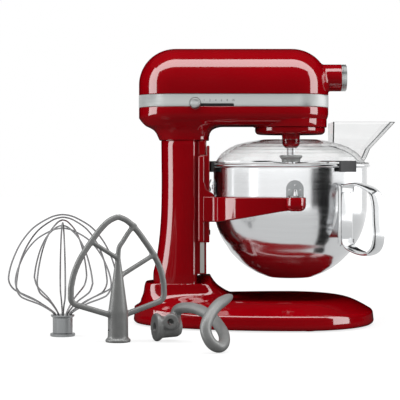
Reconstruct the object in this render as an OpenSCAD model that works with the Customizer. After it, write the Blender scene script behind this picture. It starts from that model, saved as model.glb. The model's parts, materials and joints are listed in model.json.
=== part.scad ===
// Bowl-lift stand mixer with bowl, pouring shield and three loose tools.
// Origin: on the table under the bowl's axis. +X is the mixer's front, +Z is up.

/* [Overall] */
// Height from the table to the top of the head
mixer_h = 419; // [405:1:435]
// Gap kept between pieces that move past each other
run_gap = 0.4; // [0.3:0.05:0.5]

/* [Head] */
// Width of the head
head_w = 117; // [114:1:124]
// Distance between the centres of the head's two round ends
head_span = 172.5; // [168:0.5:180]
// Radius of the head's top edge
crown_r = 55; // [50:1:56]
// Height of the head above the trim band
crown_h = 71; // [69:1:76]
// Height of the head below the trim band
belly_h = 28; // [26:1:30]
// Radius of the head's lower edge
belly_r = 20; // [14:1:22]
// Wall of the head castings
shell_t = 4; // [3:0.5:4.5]
// Height of the trim band
band_h = 19; // [17:1:21]
// Thickness of the trim band
band_t = 3; // [2.5:0.5:3]
// Height of the neck under the head
neck_h = 22; // [20:1:26]

/* [Front hub] */
// Outer radius of the front hub
hub_r = 20.5; // [20:0.5:22]
// Radius of the hub's attachment bore
hub_bore_r = 15.9; // [15.5:0.1:16.2]
// Reach of the hub in front of the bowl axis
hub_reach = 78; // [76:1:84]
// Depth of the hub axis below the top of the head
hub_drop = 44; // [43:1:46]
// Thickness of the hub cap
cap_t = 5.5; // [4:0.5:7]

/* [Speed control] */
// Radius of the speed knob
knob_r = 8.8; // [7.5:0.1:9.5]
// Thickness of the speed knob
knob_t = 7; // [5:0.5:9]
// Travel of the speed knob
speed_travel = 52; // [40:1:52]

/* [Planetary drive] */
// Radius of the rotating housing
planetary_r = 53.5; // [50:0.5:54]
// Height of the rotating housing
planetary_h = 10.5; // [10:0.5:12]
// Radius of the boss round the beater shaft
boss_r = 13; // [11:0.5:14]
// Length of the boss below the rotating housing
boss_h = 20; // [16:1:22]
// Radius of the beater shaft
beater_shaft_r = 6.35; // [5.5:0.05:6.5]

/* [Column] */
// Depth of the column from its front to its rear
column_depth = 57; // [55:1:65]
// Depth of the lift guide, from its face back to the column's front
guide_depth = 12; // [11:0.5:13]
// Width of the column
column_w = 86; // [84:1:92]
// Wall of the column
column_t = 5; // [4:0.5:6]
// Gap between the bowl's rim and the face of the lift guide
guide_gap = 6.4; // [6.2:0.1:7.4]
// Width of the lift guide
guide_w = 72; // [66:1:72]

/* [Base] */
// Half width of the base
base_half_w = 143; // [139:1:150]
// Reach of the base in front of the bowl axis
base_front = 127; // [122:1:134]
// Reach of the base behind the bowl axis
base_rear = 239; // [236:1:246]
// Height of the base at its middle
base_h = 42; // [40:1:46]
// Wall of the base
base_t = 6; // [5:0.5:7]
// Height of the pedestal that holds the column
pedestal_h = 74; // [72:1:80]
// Height of the base's rim above the table
rim_gap = 2; // [1.5:0.5:3]
// Radius of a rubber foot
foot_r = 10; // [8:0.5:12]

/* [Bowl lift] */
// Travel of the bowl lift
lift_travel = 28; // [24:1:29]
// Depth of the yoke arms' top below the head
arm_drop = 107; // [106:1:110]
// Height of an arm at its root
arm_root_h = 38; // [34:1:40]
// Height of an arm at its end
arm_end_h = 19.5; // [17:0.5:22]
// Thickness of an arm
arm_t = 6.6; // [5.5:0.1:6.8]
// Gap between the bowl and an arm beside it
arm_gap = 1.4; // [1:0.1:2.4]
// Radius of the pad at the end of an arm
pad_r = 14; // [12:0.5:15]
// Throw of the lift crank
crank_r = 19.8; // [19:0.1:20.5]
// Reach of the lift lever to the centre of its knob
lever_reach = 54; // [44:1:54]

/* [Bowl] */
// Radius of the bowl's wall
bowl_r = 117; // [116:0.1:117.2]
// How far the rolled rim stands out past the bowl's wall
rim_roll = 4.6; // [3.6:0.2:5]
// Height of the bowl
bowl_h = 172.5; // [168:0.5:176]
// Depth of the bowl's rim below the head
rim_drop = 58; // [57:1:60]
// Wall of the bowl
bowl_t = 1.4; // [1:0.1:2]
// Width of the bowl's handle strap
strap_w = 22; // [18:1:26]
// Thickness of the handle strap
strap_t = 3.2; // [2.5:0.1:4]
// How far the handle stands out past the bowl's wall
handle_depth = 68; // [61:1:75]

/* [Pouring shield] */
// Height of the shield's dome
shield_h = 37; // [34:1:38]
// Wall of the shield
shield_t = 2; // [1.6:0.1:2.4]
// Radius of the shield's middle opening
shield_hole_r = 47; // [44:0.5:50]
// How far the chute's lip stands out past the bowl's wall
chute_depth = 39; // [31:1:47]
// Half width of the chute's mouth
chute_half_w = 46; // [40:1:52]
// Height of the chute's lip above the bowl's rim
chute_h = 63; // [58:1:66]

/* [Tools] */
// Overall height of the wire whip
whip_h = 172; // [160:1:180]
// Radius of the wire whip
whip_r = 77; // [66:1:80]
// Radius of the whip's wires
wire_r = 1.2; // [0.9:0.1:1.5]
// Overall height of the flat beater
beater_h = 174; // [165:1:180]
// Half width of the flat beater
beater_half_w = 72; // [64:1:74]
// Width of the beater's bars
bar_w = 8; // [6:0.5:10]
// Thickness of the beater's bars
bar_t = 8; // [6:0.5:9]
// Radius of a tool's socket flange
flange_r = 17.5; // [16:0.5:19]
// Radius of a tool's socket barrel
barrel_r = 14; // [12:0.5:15]
// Radius of the dough hook's rod
hook_r = 7.5; // [6:0.5:8]

/* [Hidden] */
$fn = 64;

red = [0.62, 0.02, 0.06];
silver = [0.75, 0.76, 0.77];
steel = [0.8, 0.81, 0.82];
dark = [0.2, 0.21, 0.22];
coated = [0.52, 0.53, 0.54];
bronze = [0.7, 0.5, 0.25];
copper = [0.75, 0.4, 0.22];
clear = [0.85, 0.88, 0.9, 0.35];

// Distances from the bowl's axis, worked outwards from the bowl's wall
rim_r = bowl_r + rim_roll;
guide_front = rim_r + guide_gap;
column_front = guide_front + guide_depth;
column_back = column_front + column_depth;
arm_half_w = bowl_r + arm_gap + arm_t;
handle_reach = bowl_r + handle_depth;
chute_reach = bowl_r + chute_depth;

// Heights, worked down from the top of the head
band_z1 = mixer_h - crown_h;
band_z0 = band_z1 - band_h;
split_z = (band_z0 + band_z1) / 2;
head_z = band_z0 - belly_h;
seam_z = head_z - neck_h;
hub_z = mixer_h - hub_drop;
rim_z = head_z - rim_drop;
arm_z = head_z - arm_drop;
fit_gap = 0.1;

// Head
head_r = head_w / 2;
recess_r = head_r - band_t + 0.4;
cavity_r = recess_r - shell_t + 1;
head_rear = -head_span - head_r;
floor_z = head_z + shell_t + 1;
drum_r = head_r - 2.5;

// Gear data: tooth counts set the joints' ratios
ring_teeth = 48;
planet_teeth = 16;
orbit_m = 1.5;
wheel_teeth = 42;
pinion_teeth = 14;
bevel_m = 1.25;
spur_teeth = 33;
motor_teeth = 11;
spur_m = 1;
pressure_a = 25;
orbit_r = orbit_m * (ring_teeth - planet_teeth) / 2;
spur_axes = spur_m * (spur_teeth + motor_teeth) / 2;
motor_z = hub_z - spur_axes;
gear_h = 9;
bevel_face = 8;
wheel_r = bevel_m * wheel_teeth / 2;
bevel_pinion_r = bevel_m * pinion_teeth / 2;
wheel_z = hub_z - bevel_pinion_r;

// Planetary
drum_z = head_z - 2;
planetary_z1 = drum_z - run_gap;
planetary_z0 = planetary_z1 - planetary_h;
boss_z = planetary_z0 - boss_h;
ring_z0 = drum_z + 1;
ring_z1 = ring_z0 + gear_h;
ring_out_r = orbit_m * ring_teeth / 2 + 8;
web_z = ring_z1 + 2;
centre_r = 6;
tower_r = 19;
bearing_r = 14;
bearing_h = 8;
tower_z = wheel_z - 12;

// Tool sockets
flange_t = 4;
socket_depth = 32;
tool_bore_r = beater_shaft_r + fit_gap;
tool_z = boss_z - 11;

// Lift
guide_z0 = pedestal_h + 3;
slot_w = 23.6;
block_w = 22.8;
yoke_z1 = seam_z - 8;
yoke_z0 = arm_z - arm_root_h - 31;
plate_z1 = arm_z + 62;
plate_t = 7.6;
wrap_x = -guide_front + run_gap;
yoke_front = -guide_front + 4.6;
lever_x = -column_back + 11;
pin_x = lever_x + crank_r * cos(45);
lever_z = arm_z - 82;
pin_z = lever_z + crank_r * sin(45);
crank_pin_r = 4;
lever_shaft_r = 5;
bend_r = arm_half_w - column_w / 2 - 3;
bend_x = -guide_front + 7.4 + bend_r;
bend_y = arm_half_w - bend_r;

// Bowl
bowl_z = rim_z - bowl_h;
handle_a = -49;
shield_z = rim_z + 0.3;
clip_angles = [-50, 70, 190];

// ---- Shared shapes ----

// Ring of n points: a superellipse whose rear, middle and front are at xr, xm and xf
function egg(z, xr, xm, xf, hy, e, n = 64) = [
    for (i = [0 : n - 1])
        let (c = cos(360 * i / n), s = sin(360 * i / n), ax = c >= 0 ? xf - xm : xm - xr)
            [xm + ax * sign(c) * pow(abs(c), 2 / e), hy * sign(s) * pow(abs(s), 2 / e), z]
];

function flat(ring) = [for (p = ring) [p.x, p.y]];

// Closed solid through rings that each run counter-clockwise seen from the last one
module loft(rings) {
    n = len(rings[0]);
    m = len(rings);
    points = [for (ring = rings) for (p = ring) p];
    sides = [
        for (j = [0 : m - 2]) for (i = [0 : n - 1])
            let (a = j * n + i, b = j * n + (i + 1) % n)
                each [[a, a + n, b], [b, a + n, b + n]]
    ];
    caps = [[for (i = [0 : n - 1]) i], [for (i = [n - 1 : -1 : 0]) (m - 1) * n + i]];
    polyhedron(points, concat(caps, sides), convexity = 8);
}

function unit(v) = v / norm(v);
function tangent(p, i) = unit(p[min(i + 1, len(p) - 1)] - p[max(i - 1, 0)]);
function square_to(v, t) = unit(v - (v * t) * t);
function carried(p, start) = [
    for (i = 0, v = square_to(start, tangent(p, 0)); i < len(p);
        i = i + 1, v = i < len(p) ? square_to(v, tangent(p, i)) : v) v
];

// Round rod along a path; radii holds one radius for each point
module rod(path, radii, side, n = 8) {
    v = carried(path, side);
    loft([
        for (i = [0 : len(path) - 1])
            let (t = tangent(path, i), w = cross(t, v[i]))
                [for (k = [0 : n - 1])
                    path[i] + radii[i] * (cos(360 * k / n) * v[i] + sin(360 * k / n) * w)]
    ]);
}

// Smooth curve through hand-placed points, with k steps between two of them
function spline_at(a, b, c, d, t) =
    0.5 * ((2 * b) + (c - a) * t + (2 * a - 5 * b + 4 * c - d) * t * t
        + (3 * b - a - 3 * c + d) * t * t * t);
function smooth(p, k) = [
    for (i = [0 : len(p) - 2]) for (s = [0 : k - 1])
        spline_at(p[max(i - 1, 0)], p[i], p[i + 1], p[min(i + 2, len(p) - 1)], s / k),
    p[len(p) - 1]
];

// Strip of thickness t that follows a flat path
function side_of(p, i) = let (d = tangent(p, i)) [-d.y, d.x];
module ribbon(path, t) {
    last = len(path) - 1;
    polygon(concat(
        [for (i = [0 : last]) path[i] + side_of(path, i) * t / 2],
        [for (i = [last : -1 : 0]) path[i] - side_of(path, i) * t / 2]
    ));
}

module along_x(x0, x1, r, y = 0, z = 0) {
    translate([x0, y, z]) rotate([0, 90, 0]) cylinder(h = x1 - x0, r = r);
}

module along_y(y0, y1, r, x = 0, z = 0) {
    translate([x, y0, z]) rotate([-90, 0, 0]) cylinder(h = y1 - y0, r = r);
}

module along_z(z0, z1, r, x = 0, y = 0) {
    translate([x, y, z0]) cylinder(h = z1 - z0, r = r);
}

module block(low, high) {
    translate(low) cube(high - low);
}

module both_sides() {
    children();
    mirror([0, 1, 0]) children();
}

// Solid with the head's long round plan; profile holds [radius, z] points from axis to axis
module head_sweep(profile) {
    rotate_extrude() polygon(profile);
    translate([-head_span, 0, 0]) rotate_extrude() polygon(profile);
    translate([-head_span, 0, 0]) rotate([90, 0, 90]) linear_extrude(head_span)
        polygon(concat(profile, [for (i = [len(profile) - 2 : -1 : 1]) [-profile[i].x, profile[i].y]]));
}

function arc(x, z, r, a0, a1, n = 10) = [
    for (i = [0 : n]) let (a = a0 + (a1 - a0) * i / n) [x + r * cos(a), z + r * sin(a)]
];

// ---- Gears ----

// Outline of a spur gear with involute flanks; inner gears pass add and ded swapped
function involute_a(rb, r) = let (t = sqrt(max(0, r * r / (rb * rb) - 1))) t * 180 / PI - atan(t);
function gear_points(teeth, m, add, ded, slack) =
    let (rp = teeth * m / 2, rb = rp * cos(pressure_a), ra = rp + add * m, rr = rp - ded * m,
        half = 90 / teeth - slack / rp * 90 / PI, at_pitch = involute_a(rb, rp),
        low = max(rb, rr), steps = 3,
        flank = [for (i = [0 : steps]) let (r = low + (ra - low) * i / steps)
            [r, half + at_pitch - involute_a(rb, r)]])
    [for (k = [0 : teeth - 1]) let (c = 360 * k / teeth) each concat(
        [rr * [cos(c - flank[0][1] - 0.5), sin(c - flank[0][1] - 0.5)]],
        [for (f = flank) f[0] * [cos(c - f[1]), sin(c - f[1])]],
        [for (i = [steps : -1 : 0]) flank[i][0] * [cos(c + flank[i][1]), sin(c + flank[i][1])]],
        [rr * [cos(c + flank[0][1] + 0.5), sin(c + flank[0][1] + 0.5)]]
    )];

// Outline of a bevel gear in the plane of its large end, a distance depth from the apex
function bevel_points(teeth, depth, other) =
    let (rp = teeth * bevel_m / 2, gamma = atan(rp / depth), cone = norm([rp, depth]),
        thick = PI * bevel_m / 2 - 0.42,
        levels = [-atan(1.25 * bevel_m / cone), 0, atan(0.8 * bevel_m / cone)],
        flank = [for (d = levels) let (a = gamma + d)
            [depth * tan(a), (thick / 2 - tan(pressure_a) * cone * d * PI / 180)
                / (cone * sin(a)) * 180 / PI]])
    [for (k = [0 : teeth - 1]) let (c = 360 * k / teeth) each concat(
        [for (f = flank) f[0] * [cos(c - f[1]), sin(c - f[1])]],
        [for (i = [2 : -1 : 0]) flank[i][0] * [cos(c + flank[i][1]), sin(c + flank[i][1])]]
    )];

// Teeth of a bevel gear with its apex at the origin and its large end at z = -depth
module bevel_teeth(teeth, depth) {
    rp = teeth * bevel_m / 2;
    keep = 1 - bevel_face / norm([rp, depth]);
    translate([0, 0, -depth]) linear_extrude(depth * (1 - keep), scale = keep)
        polygon(bevel_points(teeth, depth));
}

// ---- Stand ----

function base_ring(z, inset) =
    [for (i = [0 : 95]) let (a = 360 * i / 96, reach = cos(a) >= 0 ? base_front : base_rear)
        [(reach - inset) * cos(a), (base_half_w - inset) * sin(a), z]];

shoulder_r = 20;
crown_z = base_h - 8.5;
shoulder_a = 75;
function base_rings(z0) = concat(
    [base_ring(z0, 3), base_ring(z0 + 3, 1), base_ring(z0 + 7, 0)],
    [for (a = [0 : 15 : shoulder_a])
        base_ring(crown_z - shoulder_r * (1 - sin(a)) + 0.7, shoulder_r * (1 - cos(a)))],
    [for (s = [0.15, 0.4, 0.75, 1])
        base_ring(crown_z + 8.5 * sin(90 * s), 15 + (base_front - 20) * s)]
);

// Pedestal sections: share of its height, what it stands out behind, before and beside the
// column, and how square it is
pedestal_rows = [[0.405, 34, 82, 37, 2], [0.514, 30.5, 70, 30, 2.25], [0.595, 28, 54, 21.5, 2.6],
    [0.676, 26.5, 42, 15, 2.9], [0.77, 25.5, 31, 11, 3.2], [0.865, 23.5, 24, 9, 3.4],
    [0.946, 20, 20, 7.5, 3.4], [1, 16, 18, 6, 3.4]];
function pedestal_ring(r) = egg(r[0] * pedestal_h, -column_back - r[1], column_mid,
    -column_front + r[2], column_w / 2 + r[3], r[4]);

pocket_z = pedestal_h - 14;
column_slack = 0.15;

module column_plan(grow) {
    polygon(flat(column_ring(pedestal_h, grow)));
}

// Column sections: share of the way up, how far the rear stands out, and the half width added
column_rows = [[0, 12, 1.4], [0.08, 12, 1.4], [0.15, 8.5, 0.9], [0.25, 5, 0.4], [0.36, 2.2, 0.1],
    [0.5, 0.2, 0], [0.7, -0.6, 0], [1, 0, 0]];
column_mid = -158;
function column_ring(z, grow) =
    let (s = (z - pocket_z) / (seam_z - pocket_z), out = lookup(s, [for (r = column_rows) [r[0], r[1]]]),
        wide = lookup(s, [for (r = column_rows) [r[0], r[2]]]))
    egg(z, -column_back - out - grow, column_mid, -column_front + grow, column_w / 2 + wide + grow, 3);

foot_places = [[100, 0], [20, 112], [20, -112], [-205, 34], [-205, -34]];
bolt_places = [[-190, 22], [-190, -22], [-160, 30], [-160, -30]];
bolt_r = 4;
pad_z = pocket_z - 10;

module base_casting() color(red) difference() {
    union() {
        translate([0, 0, rim_gap]) linear_extrude(4) difference() {
            polygon(flat(base_ring(0, 3)));
            polygon(flat(base_ring(0, 3 + base_t)));
        }
        difference() {
            union() {
                loft(base_rings(rim_gap + 1));
                loft([for (row = pedestal_rows) pedestal_ring(row)]);
            }
            translate([0, 0, -1]) linear_extrude(base_h - 12 - base_t + 1)
                polygon(flat(base_ring(0, 3 + base_t)));
            translate([0, 0, -1]) linear_extrude(pad_z + 1)
                polygon(flat(column_ring(pedestal_h, -column_t)));
            translate([0, 0, pocket_z]) linear_extrude(pedestal_h) column_plan(column_slack);
        }
        for (p = foot_places) along_z(foot_h, base_h - 14, foot_r + 2, p.x, p.y);
    }
    for (p = foot_places) along_z(foot_h - 1, foot_h + 6, foot_stem_r + fit_gap, p.x, p.y);
    for (p = bolt_places) along_z(pad_z - 1, pocket_z + 1, bolt_r + fit_gap, p.x, p.y);
    along_x(-base_rear - 1, -base_rear + 40, gland_r + fit_gap, 0, gland_z);
}

foot_h = rim_gap + 2;
foot_stem_r = 4;
module rubber_feet() color(dark) for (p = foot_places) {
    along_z(0, foot_h, foot_r, p.x, p.y);
    along_z(foot_h, foot_h + 5, foot_stem_r, p.x, p.y);
}

cover_z = rim_gap + 5;
module bottom_cover() color(dark) difference() {
    translate([0, 0, cover_z]) linear_extrude(2) polygon(flat(base_ring(0, 3.5 + base_t)));
    for (p = foot_places) along_z(0, base_h, foot_r + 2.5, p.x, p.y);
}

gland_r = 5;
gland_z = 17;
module cord_gland() color(dark) difference() {
    union() {
        along_x(-base_rear + 0.8, -base_rear + 14, gland_r, 0, gland_z);
        along_x(-base_rear + 10, -base_rear + 14, gland_r + 2, 0, gland_z);
    }
    along_x(-base_rear, -base_rear + 15, gland_r - 2, 0, gland_z);
}

bush_y0 = 20;
guide_x0 = -column_front - column_t - 1;
module column_casting() color(red) difference() {
    union() {
        loft([for (s = [0, 0.08, 0.15, 0.25, 0.36, 0.5, 0.7, 1])
            column_ring(pocket_z + s * (seam_z - pocket_z), 0)]);
        block([guide_x0, -guide_w / 2, guide_z0], [-guide_front, guide_w / 2, seam_z]);
    }
    difference() {
        loft([for (s = [0.04, 0.08, 0.15, 0.25, 0.36, 0.5, 0.7, 0.955])
            column_ring(pocket_z + s * (seam_z - pocket_z), -column_t)]);
        along_y(bush_y0, column_w, 12, lever_x, lever_z);
        for (p = bolt_places) along_z(pocket_z, pocket_z + 26, bolt_r + 4, p.x, p.y);
    }
    block([guide_x0 - 3, -slot_w / 2, guide_z0 + 4], [0, slot_w / 2, seam_z - 6]);
    along_y(bush_y0 - 1, column_w, 8, lever_x, lever_z);
    for (p = bolt_places) along_z(pocket_z - 1, pocket_z + 20, bolt_r + fit_gap, p.x, p.y);
    for (p = neck_places) along_z(seam_z - 30, seam_z + 1, bolt_r + fit_gap, p.x, p.y);
    along_z(seam_z - 20, seam_z + 1, 9, -168, 0);
}

module bolt(z_head, z_end, p, up) {
    along_z(min(z_head, z_end), max(z_head, z_end), bolt_r, p.x, p.y);
    translate([p.x, p.y, up ? z_head - 6 : z_head]) cylinder(h = 6, r = bolt_r * 1.75, $fn = 6);
}

module column_bolts() color(steel) for (p = bolt_places) bolt(pad_z, pocket_z + 19, p, true);

neck_places = [[-185, 24], [-185, -24], [-152, 27], [-152, -27]];
neck_floor = seam_z + 8;
module neck_bolts() color(steel) for (p = neck_places) bolt(neck_floor, seam_z - 10, p, false);

module lever_bush() color(bronze) difference() {
    along_y(bush_y0, column_w / 2 + 1, 8 - fit_gap / 2, lever_x, lever_z);
    along_y(bush_y0 - 1, column_w, lever_shaft_r + 0.06, lever_x, lever_z);
}

rail_x = -column_front + 2.5;
module guide_rails() color(silver) both_sides()
    block([rail_x, guide_w / 2, guide_z0 + 2], [rail_x + 6.2, guide_w / 2 + 1.8, seam_z - 4]);

// ---- Head ----

module neck_loft(grow) {
    rows = [[0, 2.5, 16, 1], [0.25, 5, 16, 1.4], [0.5, 7.5, 17.5, 2], [0.7, 11, 20, 3],
        [0.88, 17, 26, 5], [1.05, 24, 35, 7], [1.3, 29, 50, 9]];
    loft([for (r = rows)
        egg(seam_z + r[0] * neck_h, -column_back - r[1] - grow, column_mid - 2,
            -column_front + r[2] + grow, column_w / 2 + r[3] + grow, 3.2)]);
}

belly_profile = concat([[0, head_z]], arc(head_r - belly_r, head_z + belly_r, belly_r, -90, 0),
    [[head_r, band_z0], [recess_r, band_z0], [recess_r, split_z], [0, split_z]]);
belly_cavity = concat([[0, floor_z]],
    arc(cavity_r - belly_r + 4, floor_z + belly_r - 4, belly_r - 4, -90, 0),
    [[cavity_r, split_z + 1], [0, split_z + 1]]);
screw_places = [[-76, 47], [-76, -47], [-30, 47], [-30, -47]];
screw_r = 2;
pillar_r = 7;
speed_off_x = -145;
slot_z = band_z0 + 1.9;

module lower_housing() color(red) difference() {
    union() {
        difference() {
            union() {
                head_sweep(belly_profile);
                neck_loft(0);
            }
            head_sweep(belly_cavity);
            intersection() {
                neck_loft(-column_t);
                block([-300, -100, neck_floor], [0, 100, floor_z + 5]);
            }
        }
        along_z(drum_z, web_z + 5, drum_r);
        along_z(drum_z, tower_z, tower_r);
        for (p = screw_places) along_z(head_z + 4, split_z, pillar_r, p.x, p.y);
    }
    along_z(drum_z - 1, ring_z1 + 0.5, ring_out_r + fit_gap / 2);
    along_z(drum_z, tower_z + 1, bearing_r + fit_gap / 2);
    for (p = screw_places) {
        along_z(0, split_z + 1, screw_r + fit_gap, p.x, p.y);
        along_z(0, head_z + 8, screw_r * 2 + 0.5, p.x, p.y);
    }
    for (p = neck_places) along_z(seam_z - 1, neck_floor + 1, bolt_r + fit_gap, p.x, p.y);
    along_z(seam_z - 1, neck_floor + 1, 9, -168, 0);
    block([speed_off_x - 5, -head_r - 1, slot_z - 2.2],
        [speed_off_x + speed_travel + 6, -cavity_r + 8, slot_z + 2.2]);
}

crown_profile = concat([[0, split_z], [recess_r, split_z], [recess_r, band_z1], [head_r, band_z1]],
    arc(head_r - crown_r, mixer_h - crown_r, crown_r, 0, 90, 14), [[0, mixer_h]]);
crown_in = crown_r - shell_t;
crown_cavity = concat([[0, split_z - 1], [cavity_r, split_z - 1]],
    arc(cavity_r - crown_in, mixer_h - shell_t - crown_in, crown_in, 0, 90, 12),
    [[0, mixer_h - shell_t]]);
sleeve_r = hub_r - 2;

module upper_housing() color(red) difference() {
    union() {
        difference() {
            union() {
                head_sweep(crown_profile);
                along_x(0, hub_reach, hub_r, 0, hub_z);
            }
            head_sweep(crown_cavity);
        }
        intersection() {
            head_sweep(crown_profile);
            for (p = screw_places) along_z(split_z, split_z + 22, pillar_r, p.x, p.y);
        }
        along_y(hub_r - 1, knob_seat_y, 6, screw_x, hub_z);
    }
    along_x(0, hub_reach + 1, sleeve_r + fit_gap / 2, 0, hub_z);
    along_y(0, knob_seat_y + 1, hub_screw_r + fit_gap, screw_x, hub_z);
    for (p = screw_places) along_z(split_z - 1, split_z + 14, screw_r + fit_gap, p.x, p.y);
}

module housing_screws() color(steel) for (p = screw_places) {
    along_z(head_z + 8, split_z + 13, screw_r, p.x, p.y);
    along_z(head_z + 5.5, head_z + 8, screw_r * 2, p.x, p.y);
}

module trim_band() color(silver) difference() {
    head_sweep([[0, band_z0], [recess_r + band_t, band_z0 + fit_gap],
        [recess_r + band_t + 0.4, band_z0 + 2], [recess_r + band_t + 0.4, band_z1 - 2],
        [recess_r + band_t, band_z1 - fit_gap], [0, band_z1]]);
    head_sweep([[0, band_z0 - 1], [recess_r + fit_gap / 2, band_z0 - 1],
        [recess_r + fit_gap / 2, band_z1 + 1], [0, band_z1 + 1]]);
    block([speed_off_x - 5, -head_r - 3, band_z0 - 1],
        [speed_off_x + speed_travel + 6, 0, slot_z + 2.2]);
}

// Slides along the slot of the trim band
stem_y0 = recess_r - 8;
module speed_stem() color(dark) {
    block([speed_off_x - 2.5, -head_r - 2, slot_z - 1.6], [speed_off_x + 2.5, -stem_y0, slot_z + 1.6]);
    block([speed_off_x - 2.5, -stem_y0, slot_z - 5], [speed_off_x + 2.5, -stem_y0 + 2, slot_z + 5]);
}

module speed_knob() color(silver) difference() {
    along_y(-head_r - 2 - knob_t, -head_r - 1.2, knob_r, speed_off_x, slot_z + 3);
    block([speed_off_x - 2.5, -head_r - 2, slot_z - 1.6], [speed_off_x + 2.5, 0, slot_z + 1.6]);
}

track_y = stem_y0 - 2.4;
module speed_track() color(dark) {
    block([speed_off_x - 8, -track_y, slot_z - 8],
        [speed_off_x + speed_travel + 8, -track_y + 3, slot_z + 8]);
    for (x = [speed_off_x - 8, speed_off_x + speed_travel + 5])
        block([x, -track_y, floor_z + 2.6], [x + 3, -track_y + 3, slot_z - 8]);
}

module control_board() color([0.1, 0.35, 0.2]) {
    block([speed_off_x - 6, -track_y + 3, floor_z + 1.2], [speed_off_x + speed_travel, -track_y + 4.6, slot_z + 12]);
    for (x = [0, 16, 32])
        block([speed_off_x + x, -track_y + 4.6, slot_z - 10], [speed_off_x + x + 9, -track_y + 7, slot_z - 4]);
}

// ---- Front hub ----

socket_r = 12;
socket_square = 12.7;
sleeve_x0 = 40;
socket_x1 = 59;
module hub_sleeve() color(steel) difference() {
    along_x(sleeve_x0, hub_reach, sleeve_r, 0, hub_z);
    along_x(0, sleeve_x0 + 6.5, drive_r + 0.06, 0, hub_z);
    along_x(sleeve_x0 + 6, socket_x1 + 2, socket_r + 1.2, 0, hub_z);
    along_x(socket_x1 + 2, hub_reach + 1, hub_bore_r, 0, hub_z);
    along_y(0, hub_r, hub_screw_r + fit_gap, screw_x, hub_z);
}

ring_t = 2.4;
hinge_y = hub_r + 3;
hinge_r = 2.6;
hinge_x = hub_reach + ring_t + cap_t / 2;
module hub_ring() color(silver) {
    difference() {
        along_x(hub_reach, hub_reach + ring_t, hub_r, 0, hub_z);
        along_x(hub_reach - 1, hub_reach + ring_t + 1, hub_bore_r + 0.3, 0, hub_z);
    }
    for (s = [-1, 1]) translate([0, 0, hub_z + s * 8]) {
        block([hub_reach, hub_r - 4, -2], [hub_reach + ring_t, hinge_y + 2, 2]);
        block([hub_reach, hinge_y - 1, -2], [hinge_x, hinge_y + 2, 2]);
        along_z(-2, 2, hinge_r, hinge_x, hinge_y);
    }
    along_z(hub_z - 10, hub_z + 10, 1, hinge_x, hinge_y);
}

module hub_cap() color(silver) difference() {
    union() {
        along_x(hub_reach + ring_t + 0.3, hub_reach + ring_t + cap_t - 1, hub_r, 0, hub_z);
        along_x(hub_reach + ring_t + 0.3, hub_reach + ring_t + cap_t, hub_r - 1.5, 0, hub_z);
        block([hub_reach + ring_t + 0.5, hub_r - 5, hub_z - 5.5],
            [hub_reach + ring_t + cap_t - 1, hinge_y, hub_z + 5.5]);
        along_z(hub_z - 5.5, hub_z + 5.5, hinge_r, hinge_x, hinge_y);
    }
    along_z(hub_z - 20, hub_z + 20, 1.06, hinge_x, hinge_y);
    for (s = [-1, 1]) translate([0, 0, hub_z + s * 8])
        block([hub_reach, hinge_y - hinge_r - 1.2, -2.4], [hub_reach + 20, hinge_y + 9, 2.4]);
}

screw_x = hub_reach - 10;
hub_screw_r = 3;
knob_seat_y = hub_r + 4;
module hub_screw() color(dark) {
    along_y(hub_bore_r + 0.3, knob_seat_y + 2, hub_screw_r, screw_x, hub_z);
    difference() {
        along_y(knob_seat_y + run_gap, knob_seat_y + 14, 9, screw_x, hub_z);
        for (a = [0 : 45 : 315]) translate([screw_x, 0, hub_z]) rotate([0, a, 0])
            along_y(knob_seat_y + 3, knob_seat_y + 15, 2, 10, 0);
    }
}

drive_r = 5;
module hub_drive_shaft() color(steel) translate([0, 0, hub_z]) {
    rotate([0, -90, 0]) rotate([0, 0, 180 / pinion_teeth]) bevel_teeth(pinion_teeth, wheel_r);
    along_x(wheel_r - 1, sleeve_x0 - 2, bevel_pinion_r - 2.5);
    along_x(wheel_r + 1, socket_x1 - 11, drive_r);
    difference() {
        along_x(sleeve_x0 + 7, socket_x1, socket_r);
        block([socket_x1 - 11, -socket_square / 2, -socket_square / 2],
            [socket_x1 + 1, socket_square / 2, socket_square / 2]);
    }
}

// ---- Motor and gears ----

spur_x0 = -72;
plate_front_x = -54;
plate_rear_x = -82;
plate_w = 64;
stator_x0 = -162;
stator_x1 = -108;
stator_r = 38;
rotor_r = 23;
end_plate_x = -202;
shaft_r = 4;

module layshaft() color(steel) translate([0, 0, hub_z]) {
    rotate([0, 90, 0]) rotate([0, 0, 180 / pinion_teeth]) bevel_teeth(pinion_teeth, wheel_r);
    along_x(plate_front_x + 7, -wheel_r + 1, bevel_pinion_r - 2.5);
    along_x(plate_rear_x + 1, -wheel_r - 1, shaft_r);
    translate([spur_x0, 0, 0]) rotate([0, 90, 0]) linear_extrude(gear_h)
        polygon(gear_points(spur_teeth, spur_m, 0.8, 1.1, 0.1));
}

module rotor_shaft() color(steel) translate([0, 0, motor_z]) {
    along_x(end_plate_x + 1, plate_front_x + 4, shaft_r);
    translate([spur_x0, 0, 0]) rotate([0, 90, 0]) linear_extrude(gear_h)
        polygon(gear_points(motor_teeth, spur_m, 0.8, 1.1, 0.1));
}

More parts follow.
